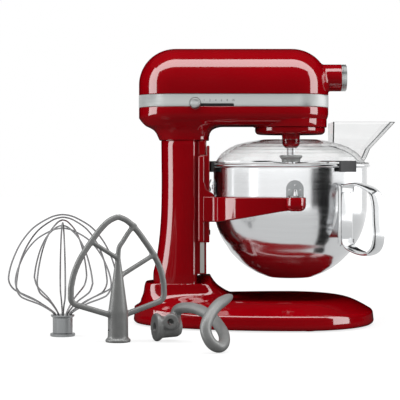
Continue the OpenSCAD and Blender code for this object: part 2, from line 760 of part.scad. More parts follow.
module bearing_plate(x, z_list, r, bush_r, thick = 5) {
    difference() {
        intersection() {
            block([x, -plate_w / 2, floor_z], [x + thick, plate_w / 2, hub_z + 22]);
            head_sweep(crown_and_belly);
        }
        for (z = z_list) along_x(x - 1, x + thick + 1, bush_r + fit_gap / 2, 0, z);
        along_z(floor_z - 1, web_z + 5, drum_r);
    }
}
crown_and_belly = concat([[0, floor_z], [cavity_r - belly_r + 4, floor_z]],
    arc(cavity_r - crown_in, mixer_h - shell_t - crown_in, crown_in, 0, 90, 12),
    [[0, mixer_h - shell_t]]);
bush_r = 7;
module gear_plate_front() color(silver)
    bearing_plate(plate_front_x, [hub_z, motor_z], 0, bush_r);
module gear_plate_rear() color(silver)
    bearing_plate(plate_rear_x, [hub_z, motor_z], 0, bush_r);
module motor_end_plate() color(silver)
    bearing_plate(end_plate_x, [motor_z], 0, bush_r);

module shaft_bushes() color(bronze)
    for (p = [[plate_front_x, hub_z], [plate_front_x, motor_z], [plate_rear_x, hub_z],
        [plate_rear_x, motor_z], [end_plate_x, motor_z]]) difference() {
        along_x(p[0], p[0] + 5, bush_r, 0, p[1]);
        along_x(p[0] - 1, p[0] + 6, shaft_r + 0.06, 0, p[1]);
    }

module motor_stator() color(steel) difference() {
    along_x(stator_x0, stator_x1, stator_r, 0, motor_z);
    along_x(stator_x0 - 1, stator_x1 + 1, rotor_r + 0.8, 0, motor_z);
}

module stator_coils() color(copper) for (x = [stator_x0 - 8, stator_x1]) difference() {
    along_x(x, x + 8, stator_r - 4, 0, motor_z);
    along_x(x - 1, x + 9, rotor_r + 2, 0, motor_z);
}

module motor_cradle() color(silver) for (x = [stator_x0 + 4, stator_x1 - 12]) difference() {
    block([x, -32, floor_z], [x + 8, 32, motor_z - 12]);
    along_x(x - 1, x + 9, stator_r + fit_gap / 2, 0, motor_z);
}

module rotor_core() color(steel) difference() {
    along_x(stator_x0, stator_x1, rotor_r, 0, motor_z);
    along_x(stator_x0 - 1, stator_x1 + 1, shaft_r, 0, motor_z);
    for (a = [0 : 30 : 330]) translate([0, 0, motor_z]) rotate([a, 0, 0])
        block([stator_x0 - 1, -1, rotor_r - 2], [stator_x1 + 1, 1, rotor_r + 1]);
}

commutator_x = stator_x0 - 22;
module commutator() color(copper) difference() {
    along_x(commutator_x, commutator_x + 10, 11, 0, motor_z);
    along_x(commutator_x - 1, commutator_x + 11, shaft_r, 0, motor_z);
}

module brush_holders() color(dark) both_sides()
    block([end_plate_x + 5, 11.4, motor_z - 4], [commutator_x + 8, 20, motor_z + 4]);

fan_x = plate_rear_x - 16;
module cooling_fan() color(dark) difference() {
    union() {
        along_x(fan_x, fan_x + 10, 9, 0, motor_z);
        for (a = [0 : 45 : 315]) translate([fan_x + 5, 0, motor_z]) rotate([a, 0, 0])
            rotate([0, 0, 0]) block([-3, -1, 6], [3, 1, 31]);
    }
    along_x(fan_x - 1, fan_x + 11, shaft_r, 0, motor_z);
}

// ---- Planetary ----

module ring_gear() color(steel) difference() {
    along_z(ring_z0, ring_z1, ring_out_r);
    translate([0, 0, ring_z0 - 1]) linear_extrude(gear_h + 2)
        rotate([0, 0, 180 / ring_teeth]) polygon(gear_points(ring_teeth, orbit_m, 1.1, 0.8, -0.1));
}

module centre_bearings() color(steel) for (z = [web_z, tower_z - bearing_h]) difference() {
    along_z(z, z + bearing_h, bearing_r);
    along_z(z - 1, z + bearing_h + 1, centre_r + 0.06);
}

module centre_shaft() color(steel) along_z(planetary_z0 + 2, wheel_z - 4, centre_r);

module bevel_wheel() color(steel) difference() {
    union() {
        translate([0, 0, hub_z]) bevel_teeth(wheel_teeth, bevel_pinion_r);
        along_z(wheel_z - 5, wheel_z, wheel_r - 4);
        along_z(tower_z + run_gap, wheel_z, 11);
    }
    along_z(tower_z - 1, wheel_z - 4, centre_r);
}

edge_r = 6.5;
module planetary_housing() color(red) difference() {
    union() {
        rotate_extrude() polygon(concat([[0, planetary_z1], [0, planetary_z0]],
            arc(planetary_r - edge_r, planetary_z0 + edge_r, edge_r, -90, 0, 6),
            [[planetary_r, planetary_z1]]));
        translate([0, -orbit_r, 0]) rotate_extrude() polygon([[0, boss_z], [boss_r - 4.5, boss_z],
            [boss_r - 0.8, boss_z + 4.5], [boss_r, boss_z + 6], [boss_r + 0.6, planetary_z0 - 3],
            [boss_r + 3, planetary_z0 + 1], [0, planetary_z0 + 1]]);
    }
    along_z(planetary_z0 + 2, planetary_z1 + 1, centre_r);
    along_z(boss_z - 1, planetary_z1 + 1, beater_bush_r, 0, -orbit_r);
}

beater_bush_r = beater_shaft_r + 2;
module beater_bushes() color(bronze) for (z = [boss_z + 1, planetary_z1 - 12]) difference() {
    along_z(z, z + 11, beater_bush_r - fit_gap / 2, 0, -orbit_r);
    along_z(z - 1, z + 12, beater_shaft_r + 0.06, 0, -orbit_r);
}

module beater_shaft() color(steel) {
    along_z(tool_z - socket_depth + 3, ring_z1, beater_shaft_r, 0, -orbit_r);
    translate([0, -orbit_r, tool_z - 16]) rotate([0, 90, 0])
        cylinder(h = 2 * barrel_r - 3, r = 2, center = true);
}

module planet_pinion() color(steel) difference() {
    translate([0, -orbit_r, ring_z0]) rotate([0, 0, 180 / planet_teeth]) linear_extrude(gear_h - 0.4)
        polygon(gear_points(planet_teeth, orbit_m, 0.8, 1.1, 0.1));
    along_z(ring_z0 - 1, ring_z1 + 1, beater_shaft_r, 0, -orbit_r);
}

// ---- Tools ----

// Socket that slips on the beater shaft; its mouth is at the bottom
module tool_socket(taper_h, end_r) difference() {
    rotate_extrude() polygon([[0, 0], [flange_r - 0.8, 0], [flange_r, 1], [flange_r, flange_t - 1],
        [flange_r - 1, flange_t], [barrel_r, flange_t + 1.5], [barrel_r - 0.4, 40],
        [end_r, taper_h], [0, taper_h]]);
    translate([0, 0, -1]) cylinder(h = socket_depth + 1, r = tool_bore_r);
    translate([0, 0, 16]) rotate([0, 90, 0]) cylinder(h = 50, r = 2.3, center = true);
}

// Bars of the flat beater: half of the outer loop, then the three inner ones
bar_mid = beater_half_w - bar_w / 2;
bar_top = beater_h - bar_w / 2;
corner_r = 11;
function beater_side() = concat(
    beater_bar(smooth([[0, 1], [0.19, 0.968], [0.38, 0.9], [0.58, 0.8], [0.79, 0.68], [0.93, 0.56],
        [0.995, 0.45]], 3)),
    arc(bar_mid - corner_r, 0.37 * bar_top, corner_r, 0, -72, 4),
    [[barrel_r - 4, 0.215 * bar_top]]);
function beater_bar(points) = [for (p = points) [p.x * bar_mid, p.y * bar_top]];
hub_h = 0.68 * bar_top;
module beater_bars() translate([0, bar_t / 2, 0]) rotate([90, 0, 0]) linear_extrude(bar_t) {
    ribbon(beater_side(), bar_w);
    mirror([1, 0]) ribbon(beater_side(), bar_w);
    ribbon(beater_bar(smooth([[0, 0.66], [0.02, 0.75], [0.1, 0.8], [0.24, 0.88], [0.38, 0.94]], 3)), bar_w - 2);
    ribbon(beater_bar([[0, 0.665], [-0.61, 0.815]]), bar_w - 2);
    ribbon(beater_bar([[0, 0.515], [0.83, 0.7]]), bar_w - 2);
}

module beater() difference() {
    union() {
        tool_socket(hub_h, 3.2);
        beater_bars();
    }
    translate([0, 0, -1]) cylinder(h = socket_depth + 1, r = tool_bore_r);
}

module fitted_beater() color(coated) difference() {
    translate([0, -orbit_r, tool_z]) rotate([0, 180, 0]) beater();
    beater_shaft();
}

beater_place = [-249, -256];
module flat_beater() color(coated)
    translate([beater_place.x, beater_place.y, 0]) rotate([0, 0, 25]) beater();

whip_place = [-331, -182];
ferrule_h = 30;
module whip_ferrule() color(steel) translate([whip_place.x, whip_place.y, 0]) difference() {
    rotate_extrude() polygon([[0, 0], [flange_r - 0.8, 0], [flange_r, 1], [flange_r, flange_t],
        [barrel_r, flange_t + 1], [barrel_r, ferrule_h - 4], [barrel_r + 2.5, ferrule_h - 2],
        [barrel_r + 2.5, ferrule_h], [0, ferrule_h]]);
    translate([0, 0, -1]) cylinder(h = ferrule_h - 2, r = tool_bore_r);
    translate([0, 0, 14]) rotate([0, 90, 0]) cylinder(h = 50, r = 2.3, center = true);
}

// Wires of the whip: each loop leaves the ferrule, bends at a low corner and runs over the top.
// Rows hold a share of the whip's radius and of its height above the ferrule; the loops are nested
// so that they pass over each other at the top.
loops = 6;
cage_h = whip_h - ferrule_h - wire_r;
whip_rows = [[0.27, 0.065], [0.5, 0.15], [0.78, 0.222], [0.91, 0.265], [0.985, 0.33], [0.99, 0.41],
    [0.92, 0.55], [0.77, 0.72], [0.54, 0.87], [0.25, 0.967], [0.07, 0.997]];
function loop_side(k) = let (low = 0.055 * (k % 2), top = 1 - 4 * wire_r * k / cage_h * 0.8)
    concat([[barrel_r - 2, ferrule_h + 1.5]],
        [for (r = whip_rows) [r[0] * (whip_r - wire_r),
            ferrule_h + cage_h * (r[1] < 0.5 ? r[1] - low * min(1, r[1] * 4) : r[1]) * (r[1] < 0.4 ? 1 : top)]]);
function loop_path(k) = let (a = loop_side(k), n = len(a))
    concat([[barrel_r - 2, ferrule_h]], smooth(concat(a, [for (i = [n - 1 : -1 : 0]) [-a[i].x, a[i].y]]), 2),
        [[2 - barrel_r, ferrule_h]]);
module whip_wires() color(steel) translate([whip_place.x, whip_place.y, 0])
    for (k = [0 : loops - 1]) rotate([0, 0, 8 + 180 * k / loops])
        rod([for (p = loop_path(k)) [p.x, 0, p.y]], [for (p = loop_path(k)) wire_r], [0, 1, 0], 6);

// Middle line of the dough hook, from its socket to its tip
hook_path = smooth([[-172, -242, 24], [-169, -250, 42], [-155, -266, 47.5], [-138, -287, 46],
    [-121, -313, 38], [-108, -348, 23], [-107, -371, 12], [-114, -384, 8], [-124, -387, 14],
    [-130.5, -381, 29], [-127, -370, 43], [-115, -350, 58], [-96, -322, 68]], 3);
hook_last = len(hook_path) - 1;
hook_place = [-190, -246, 0];
hook_turn = 20;
hook_flange_r = 19.2;
module dough_hook() color(coated) difference() {
    union() {
        rod(hook_path, [for (i = [0 : hook_last]) hook_r * (i == hook_last ? 0.5 : i == hook_last - 1 ? 0.9 : 1)],
            [0, 0, 1], 12);
        translate(hook_place + [0, 0, hook_flange_r]) rotate([0, 90, hook_turn])
            rotate_extrude() polygon([[0, -6], [hook_flange_r - 1, -6], [hook_flange_r, -5],
                [hook_flange_r, -1], [hook_flange_r - 1.5, 1], [barrel_r + 1, 4], [barrel_r, 26],
                [barrel_r - 3, 31], [0, 31]]);
        translate(hook_place + [14, -4, hook_flange_r + 7]) rotate([90, 0, hook_turn - 30])
            cylinder(h = 16, r = 11);
    }
    translate(hook_place + [0, 0, hook_flange_r]) rotate([0, 90, hook_turn])
        translate([0, 0, -7]) cylinder(h = 27, r = tool_bore_r);
    translate(hook_place + [14, -4, hook_flange_r + 7]) rotate([90, 0, hook_turn - 30])
        translate([0, 0, 10]) cylinder(h = 7, r = 4.2);
}

// ---- Bowl lift ----

module arm_side() intersection() {
    union() {
        translate([0, 0, arm_z - arm_root_h]) linear_extrude(arm_root_h) {
            intersection() {
                translate([bend_x, bend_y]) difference() {
                    circle(r = bend_r);
                    circle(r = bend_r - arm_t);
                }
                translate([bend_x - bend_r, bend_y]) square([bend_r, bend_r]);
            }
            translate([bend_x, arm_half_w - arm_t]) square([-bend_x, arm_t]);
        }
        difference() {
            translate([0, arm_half_w, arm_z]) rotate_extrude() polygon(concat([[0, 0], [0, -arm_end_h]],
                arc(pad_r - 6, 6 - arm_end_h, 6, -90, 0, 6), [[pad_r, -1.2], [pad_r - 1.2, 0]]));
            along_z(0, mixer_h, bowl_r + 1.3);
        }
    }
    rotate([90, 0, 0]) translate([0, 0, -200]) linear_extrude(200) polygon([
        [-guide_front - 20, arm_z - arm_root_h], [-guide_front + 8, arm_z - arm_root_h],
        [-pad_r, arm_z - arm_end_h], [pad_r, arm_z - arm_end_h], [pad_r + 1, arm_z],
        [-guide_front - 20, arm_z]]);
}

rest_pin_r = 3.6;
rest_pin_y = arm_half_w + 2.5;
module lift_yoke() color(red) difference() {
    union() {
        both_sides() {
            arm_side();
            translate([0, rest_pin_y, arm_z - 2]) cylinder(h = 14, r1 = rest_pin_r, r2 = 2.2);
            block([-column_front - 0.6, guide_w / 2 + run_gap + 1.8, yoke_z0],
                [-guide_front - 3, column_w / 2 + 3, plate_z1]);
            block([-guide_front - 3, guide_w / 2 + run_gap, yoke_z0],
                [yoke_front, column_w / 2 - 1, yoke_z1]);
            block([wrap_x, guide_w / 2 - 6, yoke_z0], [yoke_front, guide_w / 2 + 2, yoke_z1]);
            translate([0, 0, yoke_z0 + 31]) linear_extrude(arm_root_h) polygon([
                [-guide_front - 3, guide_w / 2 + 1], [yoke_front - 1, guide_w / 2 + 1],
                [bend_x - bend_r + arm_t, bend_y - 4], [bend_x - bend_r + arm_t, bend_y + 3],
                [bend_x - bend_r, bend_y + 3], [-guide_front - 3, column_w / 2 + 3]]);
            translate([0, 0, arm_z]) rotate([90, 0, 0]) translate([0, 0, -column_w / 2 - 3])
                linear_extrude(column_w / 2 + 3 - guide_w / 2 - 1) polygon([[-guide_front - 3, 0],
                    [bend_x - bend_r + arm_t, -2], [bend_x - bend_r + arm_t - 2, 4],
                    [-guide_front + 1, 12], [-guide_front - 3, 22]]);
        }
        block([wrap_x, -guide_w / 2 + 5, yoke_z0], [yoke_front, guide_w / 2 - 5, arm_z - 4]);
    }
    along_z(0, arm_z + 50, bowl_r + 0.9);
    for (z = block_screws) along_x(wrap_x - 1, 0, screw_r + fit_gap, 0, z);
    along_z(0, rim_z - 20, bowl_r + 0.9);
}

block_screws = [yoke_z0 + 14, yoke_z0 + 44];
module slide_block() color(dark) difference() {
    union() {
        block([-column_front - 2, -block_w / 2, yoke_z0], [wrap_x, block_w / 2, arm_z + 20]);
        block([lever_x + 6, -block_w / 2, pin_z - 11], [-column_front, block_w / 2, pin_z + 11]);
        for (z = block_screws) {
            along_x(wrap_x - 1, yoke_front, screw_r, 0, z);
            along_x(yoke_front, yoke_front + 1.6, screw_r * 2, 0, z);
        }
    }
    block([lever_x + 9, -block_w / 2 - 1, pin_z - crank_pin_r - 1],
        [lever_x + crank_r + 6, block_w / 2 + 1, pin_z + crank_pin_r + 1]);
}

spring_x = yoke_front - 2.2;
module latch_spring() color(steel) {
    both_sides() rod(smooth([[spring_x, 5, arm_z + 2], [spring_x, 5, arm_z + 4],
        [spring_x + 4, 5, arm_z + 10], [spring_x + 1.5, 5, arm_z + 17], [spring_x + 4.6, 4, arm_z + 25]], 3),
        [for (i = [0 : 12]) 1], [0, 1, 0], 8);
    along_y(-4.6, 4.6, 1, spring_x + 4.6, arm_z + 25);
    block([spring_x - 1.8, -12, arm_z - 4], [spring_x + 1.8, 12, arm_z + 2]);
}

module lift_crank() color(steel) {
    along_y(block_w / 2 + 1, lever_y + 12, lever_shaft_r, lever_x, lever_z);
    along_y(-block_w / 2 + 1, block_w / 2 + 2, crank_pin_r, pin_x, pin_z);
    translate([lever_x, 0, lever_z]) rotate([0, -45, 0]) {
        along_y(block_w / 2 + 1, block_w / 2 + 7, 8.5);
        along_y(block_w / 2 + 1, block_w / 2 + 7, 7, crank_r);
        block([0, block_w / 2 + 1, -7], [crank_r, block_w / 2 + 7, 7]);
    }
}

lever_y = column_w / 2 + 2;
module lift_lever() color(dark) difference() {
    union() {
        along_y(lever_y, lever_y + 14, 10, lever_x, lever_z);
        translate([lever_x, lever_y + 4, lever_z]) rotate([90, 0, 0]) translate([0, 0, -7])
            linear_extrude(7) polygon([[-8, 0], [8, 0], [5, lever_reach], [-5, lever_reach]]);
        translate([lever_x, lever_y + 12, lever_z + lever_reach]) sphere(r = 9.4);
    }
    along_y(0, lever_y + 12, lever_shaft_r, lever_x, lever_z);
}

// ---- Bowl ----

// Outer profile of the bowl from the middle of its floor to its rim
function bowl_profile(t) = [
    for (p = [[0, 0], [28, 0], [33, 0.6], [40, 3], [51.3, 7.6], [59.7, 12.2], [67.3, 16.8], [76, 23.5],
        [83.4, 30.6], [91, 38.5], [97, 48], [103.5, 57.5], [109, 69], [113, 81], [116, 95], [117, 108],
        [117, 166]])
        [max(0, p[0] * bowl_r / 117 - (p[1] > 20 ? t : t * p[1] / 20)),
            bowl_z + p[1] * bowl_h / 172.5 + (p[1] > 40 ? 0 : t * (1 - p[1] / 40))]
];
roll_r = 2.3;
wall_top = bowl_z + bowl_h * 166 / 172.5;
module bowl() color(steel) {
    rotate_extrude() polygon(concat(bowl_profile(0), [for (i = [16 : -1 : 0]) bowl_profile(bowl_t)[i]]));
    difference() {
        rotate_extrude() polygon([[bowl_r - bowl_t, wall_top - 1], [bowl_r - 0.01, wall_top - 1],
            [rim_r - 0.8, rim_z - 4.6], [rim_r, rim_z - 3.8], [rim_r, rim_z - 0.8], [rim_r - 0.8, rim_z],
            [bowl_r - bowl_t, rim_z]]);
    }
}

ear_w = 25.4;
ear_h = 25;
ear_r = bowl_r + 0.05;
module bowl_ears() color(silver) both_sides() {
    intersection() {
        difference() {
            along_z(arm_z + run_gap, rim_z, ear_r + 2);
            along_z(arm_z - 1, rim_z + 1, ear_r);
        }
        union() {
            block([-ear_w / 2, 0, arm_z + run_gap], [ear_w / 2, bowl_r + 10, arm_z + ear_h - ear_w / 2]);
            along_y(0, bowl_r + 10, ear_w / 2, 0, arm_z + ear_h - ear_w / 2);
        }
    }
    translate([0, 0, arm_z + run_gap]) linear_extrude(2.2) difference() {
        intersection() {
            union() {
                translate([0, rest_pin_y]) circle(r = 9.5);
                translate([-9.5, 0]) square([19, rest_pin_y]);
            }
            difference() {
                circle(r = bowl_r + 40);
                circle(r = ear_r + 1);
            }
        }
        translate([0, rest_pin_y]) circle(r = rest_pin_r + 0.5);
    }
}

handle_out = handle_reach - strap_t / 2;
handle_z1 = arm_z + 20;
handle_path = smooth([[bowl_r + 2.4, handle_z1 - 12], [bowl_r + 4, handle_z1 - 3],
    [bowl_r + 14, handle_z1], [0.8 * handle_out, handle_z1 - 0.5],
    [handle_out - 11, handle_z1 - 10], [handle_out - 3, handle_z1 - 27],
    [handle_out - 1.5, handle_z1 - 50], [handle_out, handle_z1 - 74], [handle_out - 4, handle_z1 - 92],
    [handle_out - 16, handle_z1 - 102], [handle_out - 33, handle_z1 - 103],
    [handle_out - 54, handle_z1 - 97], [bowl_r + 4, handle_z1 - 90], [bowl_r + 2.4, handle_z1 - 82]], 3);

module bowl_handle() color(steel) rotate([0, 0, handle_a]) {
    rotate([90, 0, 0]) translate([0, 0, -strap_w / 2]) linear_extrude(strap_w) ribbon(handle_path, strap_t);
    intersection() {
        difference() {
            along_z(handle_z1 - 90, handle_z1 - 2, bowl_r + 2.6);
            along_z(handle_z1 - 91, handle_z1, bowl_r + 0.05);
        }
        block([0, -strap_w / 2 - 4, handle_z1 - 89], [bowl_r + 10, strap_w / 2 + 4, handle_z1 - 4]);
    }
}

module latch_stud() color(steel) {
    along_x(-bowl_r - 2.6, -bowl_r + 0.3 - 0.4, 3, 0, arm_z + 14);
    intersection() {
        difference() {
            along_z(arm_z + 6, arm_z + 22, bowl_r + 1.4);
            along_z(arm_z, arm_z + 30, bowl_r + 0.05);
        }
        block([-bowl_r - 9, -8, arm_z + 6], [0, 8, arm_z + 22]);
    }
}

// ---- Pouring shield ----

dome = [[1, 0], [0.985, 0.11], [0.955, 0.26], [0.91, 0.42], [0.85, 0.56], [0.78, 0.69], [0.68, 0.81],
    [0.56, 0.9], [0.44, 0.96], [0.36, 1]];
dome_r = bowl_r - 2;
function dome_line(t) = [for (p = dome)
    [p[0] * (dome_r - t) + (1 - p[0]) * (shield_hole_r - 0.36 * dome_r) / 0.64, shield_z + p[1] * (shield_h - t)]];

// Chute section: height and rear, front and half width
function chute_ring(z, xr, xf, hy) = [[xr, -hy, z], [xf - 6, -hy, z], [xf, -hy + 6, z], [xf, hy - 6, z],
    [xf - 6, hy, z], [xr, hy, z]];
chute_rows = [[0.04, 0.705, 0.55], [0.14, 0.73, 0.62], [0.36, 0.765, 0.72], [0.62, 0.86, 0.86], [1, 1, 1]];
chute_x0 = head_r + 3.5;
function chute_rings(inset, low, high) = [for (i = [0 : 4]) let (r = chute_rows[i])
    chute_ring(shield_z + r[0] * chute_h + (i == 0 ? low : 0) + (i == 4 ? high : 0),
        chute_x0 + inset, r[1] * chute_reach - inset, r[2] * chute_half_w - inset)];

module pouring_shield() color(clear) {
    difference() {
        union() {
            difference() {
                rotate_extrude() polygon(concat([[0, shield_z], [rim_r - 1, shield_z],
                    [rim_r - 1, shield_z + shield_t], [dome_r - 0.2, shield_z + shield_t]],
                    [for (i = [1 : len(dome) - 1]) dome_line(0)[i]], [[0, shield_z + shield_h]]));
                rotate_extrude() polygon(concat([[0, shield_z - 1], [dome_r - shield_t, shield_z - 1]],
                    dome_line(shield_t), [[0, shield_z + shield_h - shield_t]]));
                along_z(shield_z, shield_z + shield_h + 1, shield_hole_r);
            }
            difference() {
                loft(chute_rings(0, 0, 0));
                rotate_extrude() polygon(concat([[0, shield_z - 1], [dome_r - shield_t, shield_z - 1]],
                    dome_line(shield_t), [[0, shield_z + shield_h - shield_t]]));
            }
        }
        loft(chute_rings(shield_t, -2, 1));
    }
}

module rim_clips() color(dark) for (a = clip_angles) rotate([0, 0, a]) intersection() {
    difference() {
        union() {
            along_z(rim_z - 12, rim_z + 4.4, rim_r + 4.6);
        }
        along_z(rim_z - 13, rim_z + 2.6, rim_r + 0.6);
        along_z(rim_z - 13, rim_z + 5, rim_r - 6.2);
    }
    block([0, -16, rim_z - 12], [rim_r + 6, 16, rim_z + 5]);
}

base_casting();
bottom_cover();
rubber_feet();
column_casting();
column_bolts();
lower_housing();
neck_bolts();
upper_housing();
housing_screws();
trim_band();
hub_sleeve();
hub_ring();
guide_rails();
lever_bush();
cord_gland();
control_board();
speed_track();
ring_gear();
centre_bearings();
gear_plate_front();
gear_plate_rear();
shaft_bushes();
motor_cradle();
motor_stator();
stator_coils();
motor_end_plate();
brush_holders();
speed_knob();
speed_stem();
hub_cap();
hub_screw();
rotor_shaft();
rotor_core();
commutator();
cooling_fan();
layshaft();
hub_drive_shaft();
planetary_housing();
centre_shaft();
bevel_wheel();
beater_bushes();
beater_shaft();
planet_pinion();
fitted_beater();
lift_yoke();
slide_block();
latch_spring();
lift_lever();
lift_crank();
bowl();
bowl_ears();
bowl_handle();
latch_stud();
pouring_shield();
rim_clips();
whip_ferrule();
whip_wires();
flat_beater();
dough_hook();
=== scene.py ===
"""Stand mixer with a bowl lift: looks, light and camera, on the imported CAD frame."""

import json
from math import atan2, cos, degrees, hypot, pi, radians, sin, sqrt

import bmesh
import bpy
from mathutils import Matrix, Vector

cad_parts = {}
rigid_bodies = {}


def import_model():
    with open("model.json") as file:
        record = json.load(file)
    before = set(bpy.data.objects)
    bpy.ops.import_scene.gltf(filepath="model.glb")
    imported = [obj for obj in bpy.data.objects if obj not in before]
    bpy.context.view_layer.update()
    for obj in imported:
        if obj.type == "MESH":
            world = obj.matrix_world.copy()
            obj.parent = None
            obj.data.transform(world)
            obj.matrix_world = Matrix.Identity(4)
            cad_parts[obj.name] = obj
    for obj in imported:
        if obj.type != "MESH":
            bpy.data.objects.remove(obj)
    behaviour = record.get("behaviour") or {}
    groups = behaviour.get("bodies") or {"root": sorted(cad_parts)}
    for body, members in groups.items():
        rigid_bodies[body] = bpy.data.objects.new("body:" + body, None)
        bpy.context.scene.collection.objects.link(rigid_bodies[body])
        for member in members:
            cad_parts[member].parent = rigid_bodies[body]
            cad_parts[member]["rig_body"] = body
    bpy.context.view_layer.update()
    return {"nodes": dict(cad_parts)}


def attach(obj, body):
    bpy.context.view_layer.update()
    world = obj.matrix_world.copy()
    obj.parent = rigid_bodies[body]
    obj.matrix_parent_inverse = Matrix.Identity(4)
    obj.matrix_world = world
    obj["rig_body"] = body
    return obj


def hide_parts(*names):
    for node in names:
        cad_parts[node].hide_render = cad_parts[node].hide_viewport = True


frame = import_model()
nodes = frame["nodes"]

MM = 0.001

# Main sizes in millimetres, in the frame of the CAD
HEAD_R, HEAD_SPAN = 58.5, 172.5
BAND_R, RECESS_R = 58.9, 55.9
BAND_Z0, BAND_Z1, SPLIT_Z = 329.0, 348.0, 338.5
CROWN_Z, CROWN_R = 364.0, 55.0
BELLY_Z, BELLY_R, FLOOR_Z = 321.0, 20.0, 301.0
SEAM_Z, NECK_H, NECK_X = 279.0, 22.0, -160.0
HUB_Z, HUB_R, HUB_X = 375.0, 20.5, 78.0
BOWL_R, BOWL_Z, BOWL_T = 117.0, 70.5, 1.4
ARM_Z, ARM_Y, ARM_T, PAD_CLEAR_R = 194.0, 125.0, 6.6, 118.4
BASE_FRONT, BASE_REAR, BASE_HALF = 127.0, 239.0, 143.0
EDGE_Z, EDGE_R, EDGE_LEAN, EDGE_W = 17.0, 8.0, 1.1, 5.0
SLOPE_Z, SLOPE_H, SLOPE_W = 23.9, 17.9, 48.0
PEDESTAL_H, LEDGE_DROP = 74.0, 10.5
COLUMN_X, COLUMN_Z, COLUMN_HALF = -158.0, 60.0, 43.0
COLUMN_REAR, COLUMN_FRONT, COLUMN_E = -197.0, -141.2, (2.25, 4.5)
DRIVE_Y, SHAFT_BORE_R = -24.0, 6.45


# ---- Materials ----

def blank_tree(owner, output):
    """The owner's node tree, emptied, and its new output node."""
    owner.use_nodes = True
    owner.node_tree.nodes.clear()
    return owner.node_tree, owner.node_tree.nodes.new(output)


def finish(
    name, colour, rough, metallic=0.0, spread=0.05, grain=300, bump=0.0,
    bump_grain=None, rough_spread=0.05, coat=0.0, coat_rough=0.03, coat_ior=1.5,
    ior=1.5, specks=0.0, pale_edges=0.0,
):
    """A Principled material with colour, roughness and relief from noise in object space.

    spread is the change of colour either way, grain the noise's scale (one number, or one for
    each axis), specks the strength of light flecks and the last argument that of paler convex
    edges.
    """
    grain, bump_grain = ((scale,) * 3 if isinstance(scale, int) else scale
                         for scale in (grain, bump_grain or grain))
    material = bpy.data.materials.new(name)
    tree, out = blank_tree(material, "ShaderNodeOutputMaterial")
    link = tree.links.new
    shader = tree.nodes.new("ShaderNodeBsdfPrincipled")
    link(shader.outputs[0], out.inputs[0])
    coord = tree.nodes.new("ShaderNodeTexCoord")

    def noise(scale, detail=3.0):
        mapping = tree.nodes.new("ShaderNodeMapping")
        mapping.inputs["Scale"].default_value = scale
        link(coord.outputs["Object"], mapping.inputs["Vector"])
        texture = tree.nodes.new("ShaderNodeTexNoise")
        texture.inputs["Scale"].default_value = 1.0
        texture.inputs["Detail"].default_value = detail
        link(mapping.outputs[0], texture.inputs["Vector"])
        return texture.outputs["Fac"]

    def ramp(source, low, high, to_low, to_high):
        node = tree.nodes.new("ShaderNodeMapRange")
        link(source, node.inputs["Value"])
        for key, value in (("From Min", low), ("From Max", high),
                           ("To Min", to_low), ("To Max", to_high)):
            node.inputs[key].default_value = value
        return node.outputs[0]

    def blend(factor, first, second):
        node = tree.nodes.new("ShaderNodeMix")
        node.data_type = "RGBA"
        link(factor, node.inputs[0])
        for socket, value in ((node.inputs[6], first), (node.inputs[7], second)):
            if isinstance(value, tuple):
                socket.default_value = (*value, 1)
            else:
                link(value, socket)
        return node.outputs[2]

    dark = tuple(c * (1 - spread) for c in colour)
    light = tuple(min(1, c * (1 + spread)) for c in colour)
    tone = blend(ramp(noise(grain), 0.3, 0.7, 0, 1), dark, light)
    if specks:
        flecks = ramp(noise((1400, 1400, 1400), 2.0), 0.62, 0.7, 0, specks)
        tone = blend(flecks, tone, tuple(min(1, c * 2.2) for c in colour))
    if pale_edges:
        # Colour made paler where the surface is convex, read from pointiness
        geometry = tree.nodes.new("ShaderNodeNewGeometry")
        edge = ramp(geometry.outputs["Pointiness"], 0.53, 0.6, 0, pale_edges)
        tone = blend(edge, tone, tuple(min(1, c * 1.6) for c in colour))
    link(tone, shader.inputs["Base Color"])
    link(ramp(noise(tuple(g * 0.3 for g in grain)), 0.3, 0.7,
              max(0.02, rough - rough_spread), rough + rough_spread),
         shader.inputs["Roughness"])
    shader.inputs["Metallic"].default_value = metallic
    shader.inputs["IOR"].default_value = ior
    shader.inputs["Coat Weight"].default_value = coat
    shader.inputs["Coat Roughness"].default_value = coat_rough
    shader.inputs["Coat IOR"].default_value = coat_ior
    if bump:
        relief = tree.nodes.new("ShaderNodeBump")
        relief.inputs["Strength"].default_value = bump
        relief.inputs["Distance"].default_value = 0.0004
        link(noise(bump_grain, 2.0), relief.inputs["Height"])
        link(relief.outputs[0], shader.inputs["Normal"])
        if coat:
            link(relief.outputs[0], shader.inputs["Coat Normal"])
    return material


PAINT = finish("red_enamel", (0.36, 0.0, 0.004), 0.10, spread=0.04, grain=25, bump=0.04,
               bump_grain=140, rough_spread=0.03, coat=1.0, coat_rough=0.04, coat_ior=2.0)
BAND = finish("satin_band", (0.41, 0.425, 0.42), 0.34, 1.0, grain=(8, 8, 2600),
              bump=0.12, bump_grain=(10, 10, 3200), rough_spread=0.06)
BRIGHT = finish("bright_trim", (0.72, 0.73, 0.74), 0.16, 1.0, grain=60, bump=0.02, bump_grain=300)
BOWL_STEEL = finish("bowl_steel", (0.68, 0.69, 0.70), 0.16, 1.0, spread=0.03,
                    grain=(14, 14, 1800), bump=0.05, bump_grain=(8, 8, 2400), rough_spread=0.04)
EAR_STEEL = finish("satin_steel", (0.30, 0.31, 0.315), 0.36, 1.0, grain=(500, 500, 60),
                   bump=0.08, bump_grain=(900, 900, 60))
COATING = finish("tool_coating", (0.33, 0.335, 0.33), 0.40, 0.3, spread=0.08, grain=90,
                 bump=0.10, bump_grain=700, specks=0.25, pale_edges=0.25)
WIRE = finish("whip_wire", (0.27, 0.27, 0.275), 0.28, 1.0, grain=200)
MACHINED = finish("machined_steel", (0.58, 0.59, 0.60), 0.26, 1.0, grain=(40, 40, 1600),
                  bump=0.08, bump_grain=(30, 30, 2000))
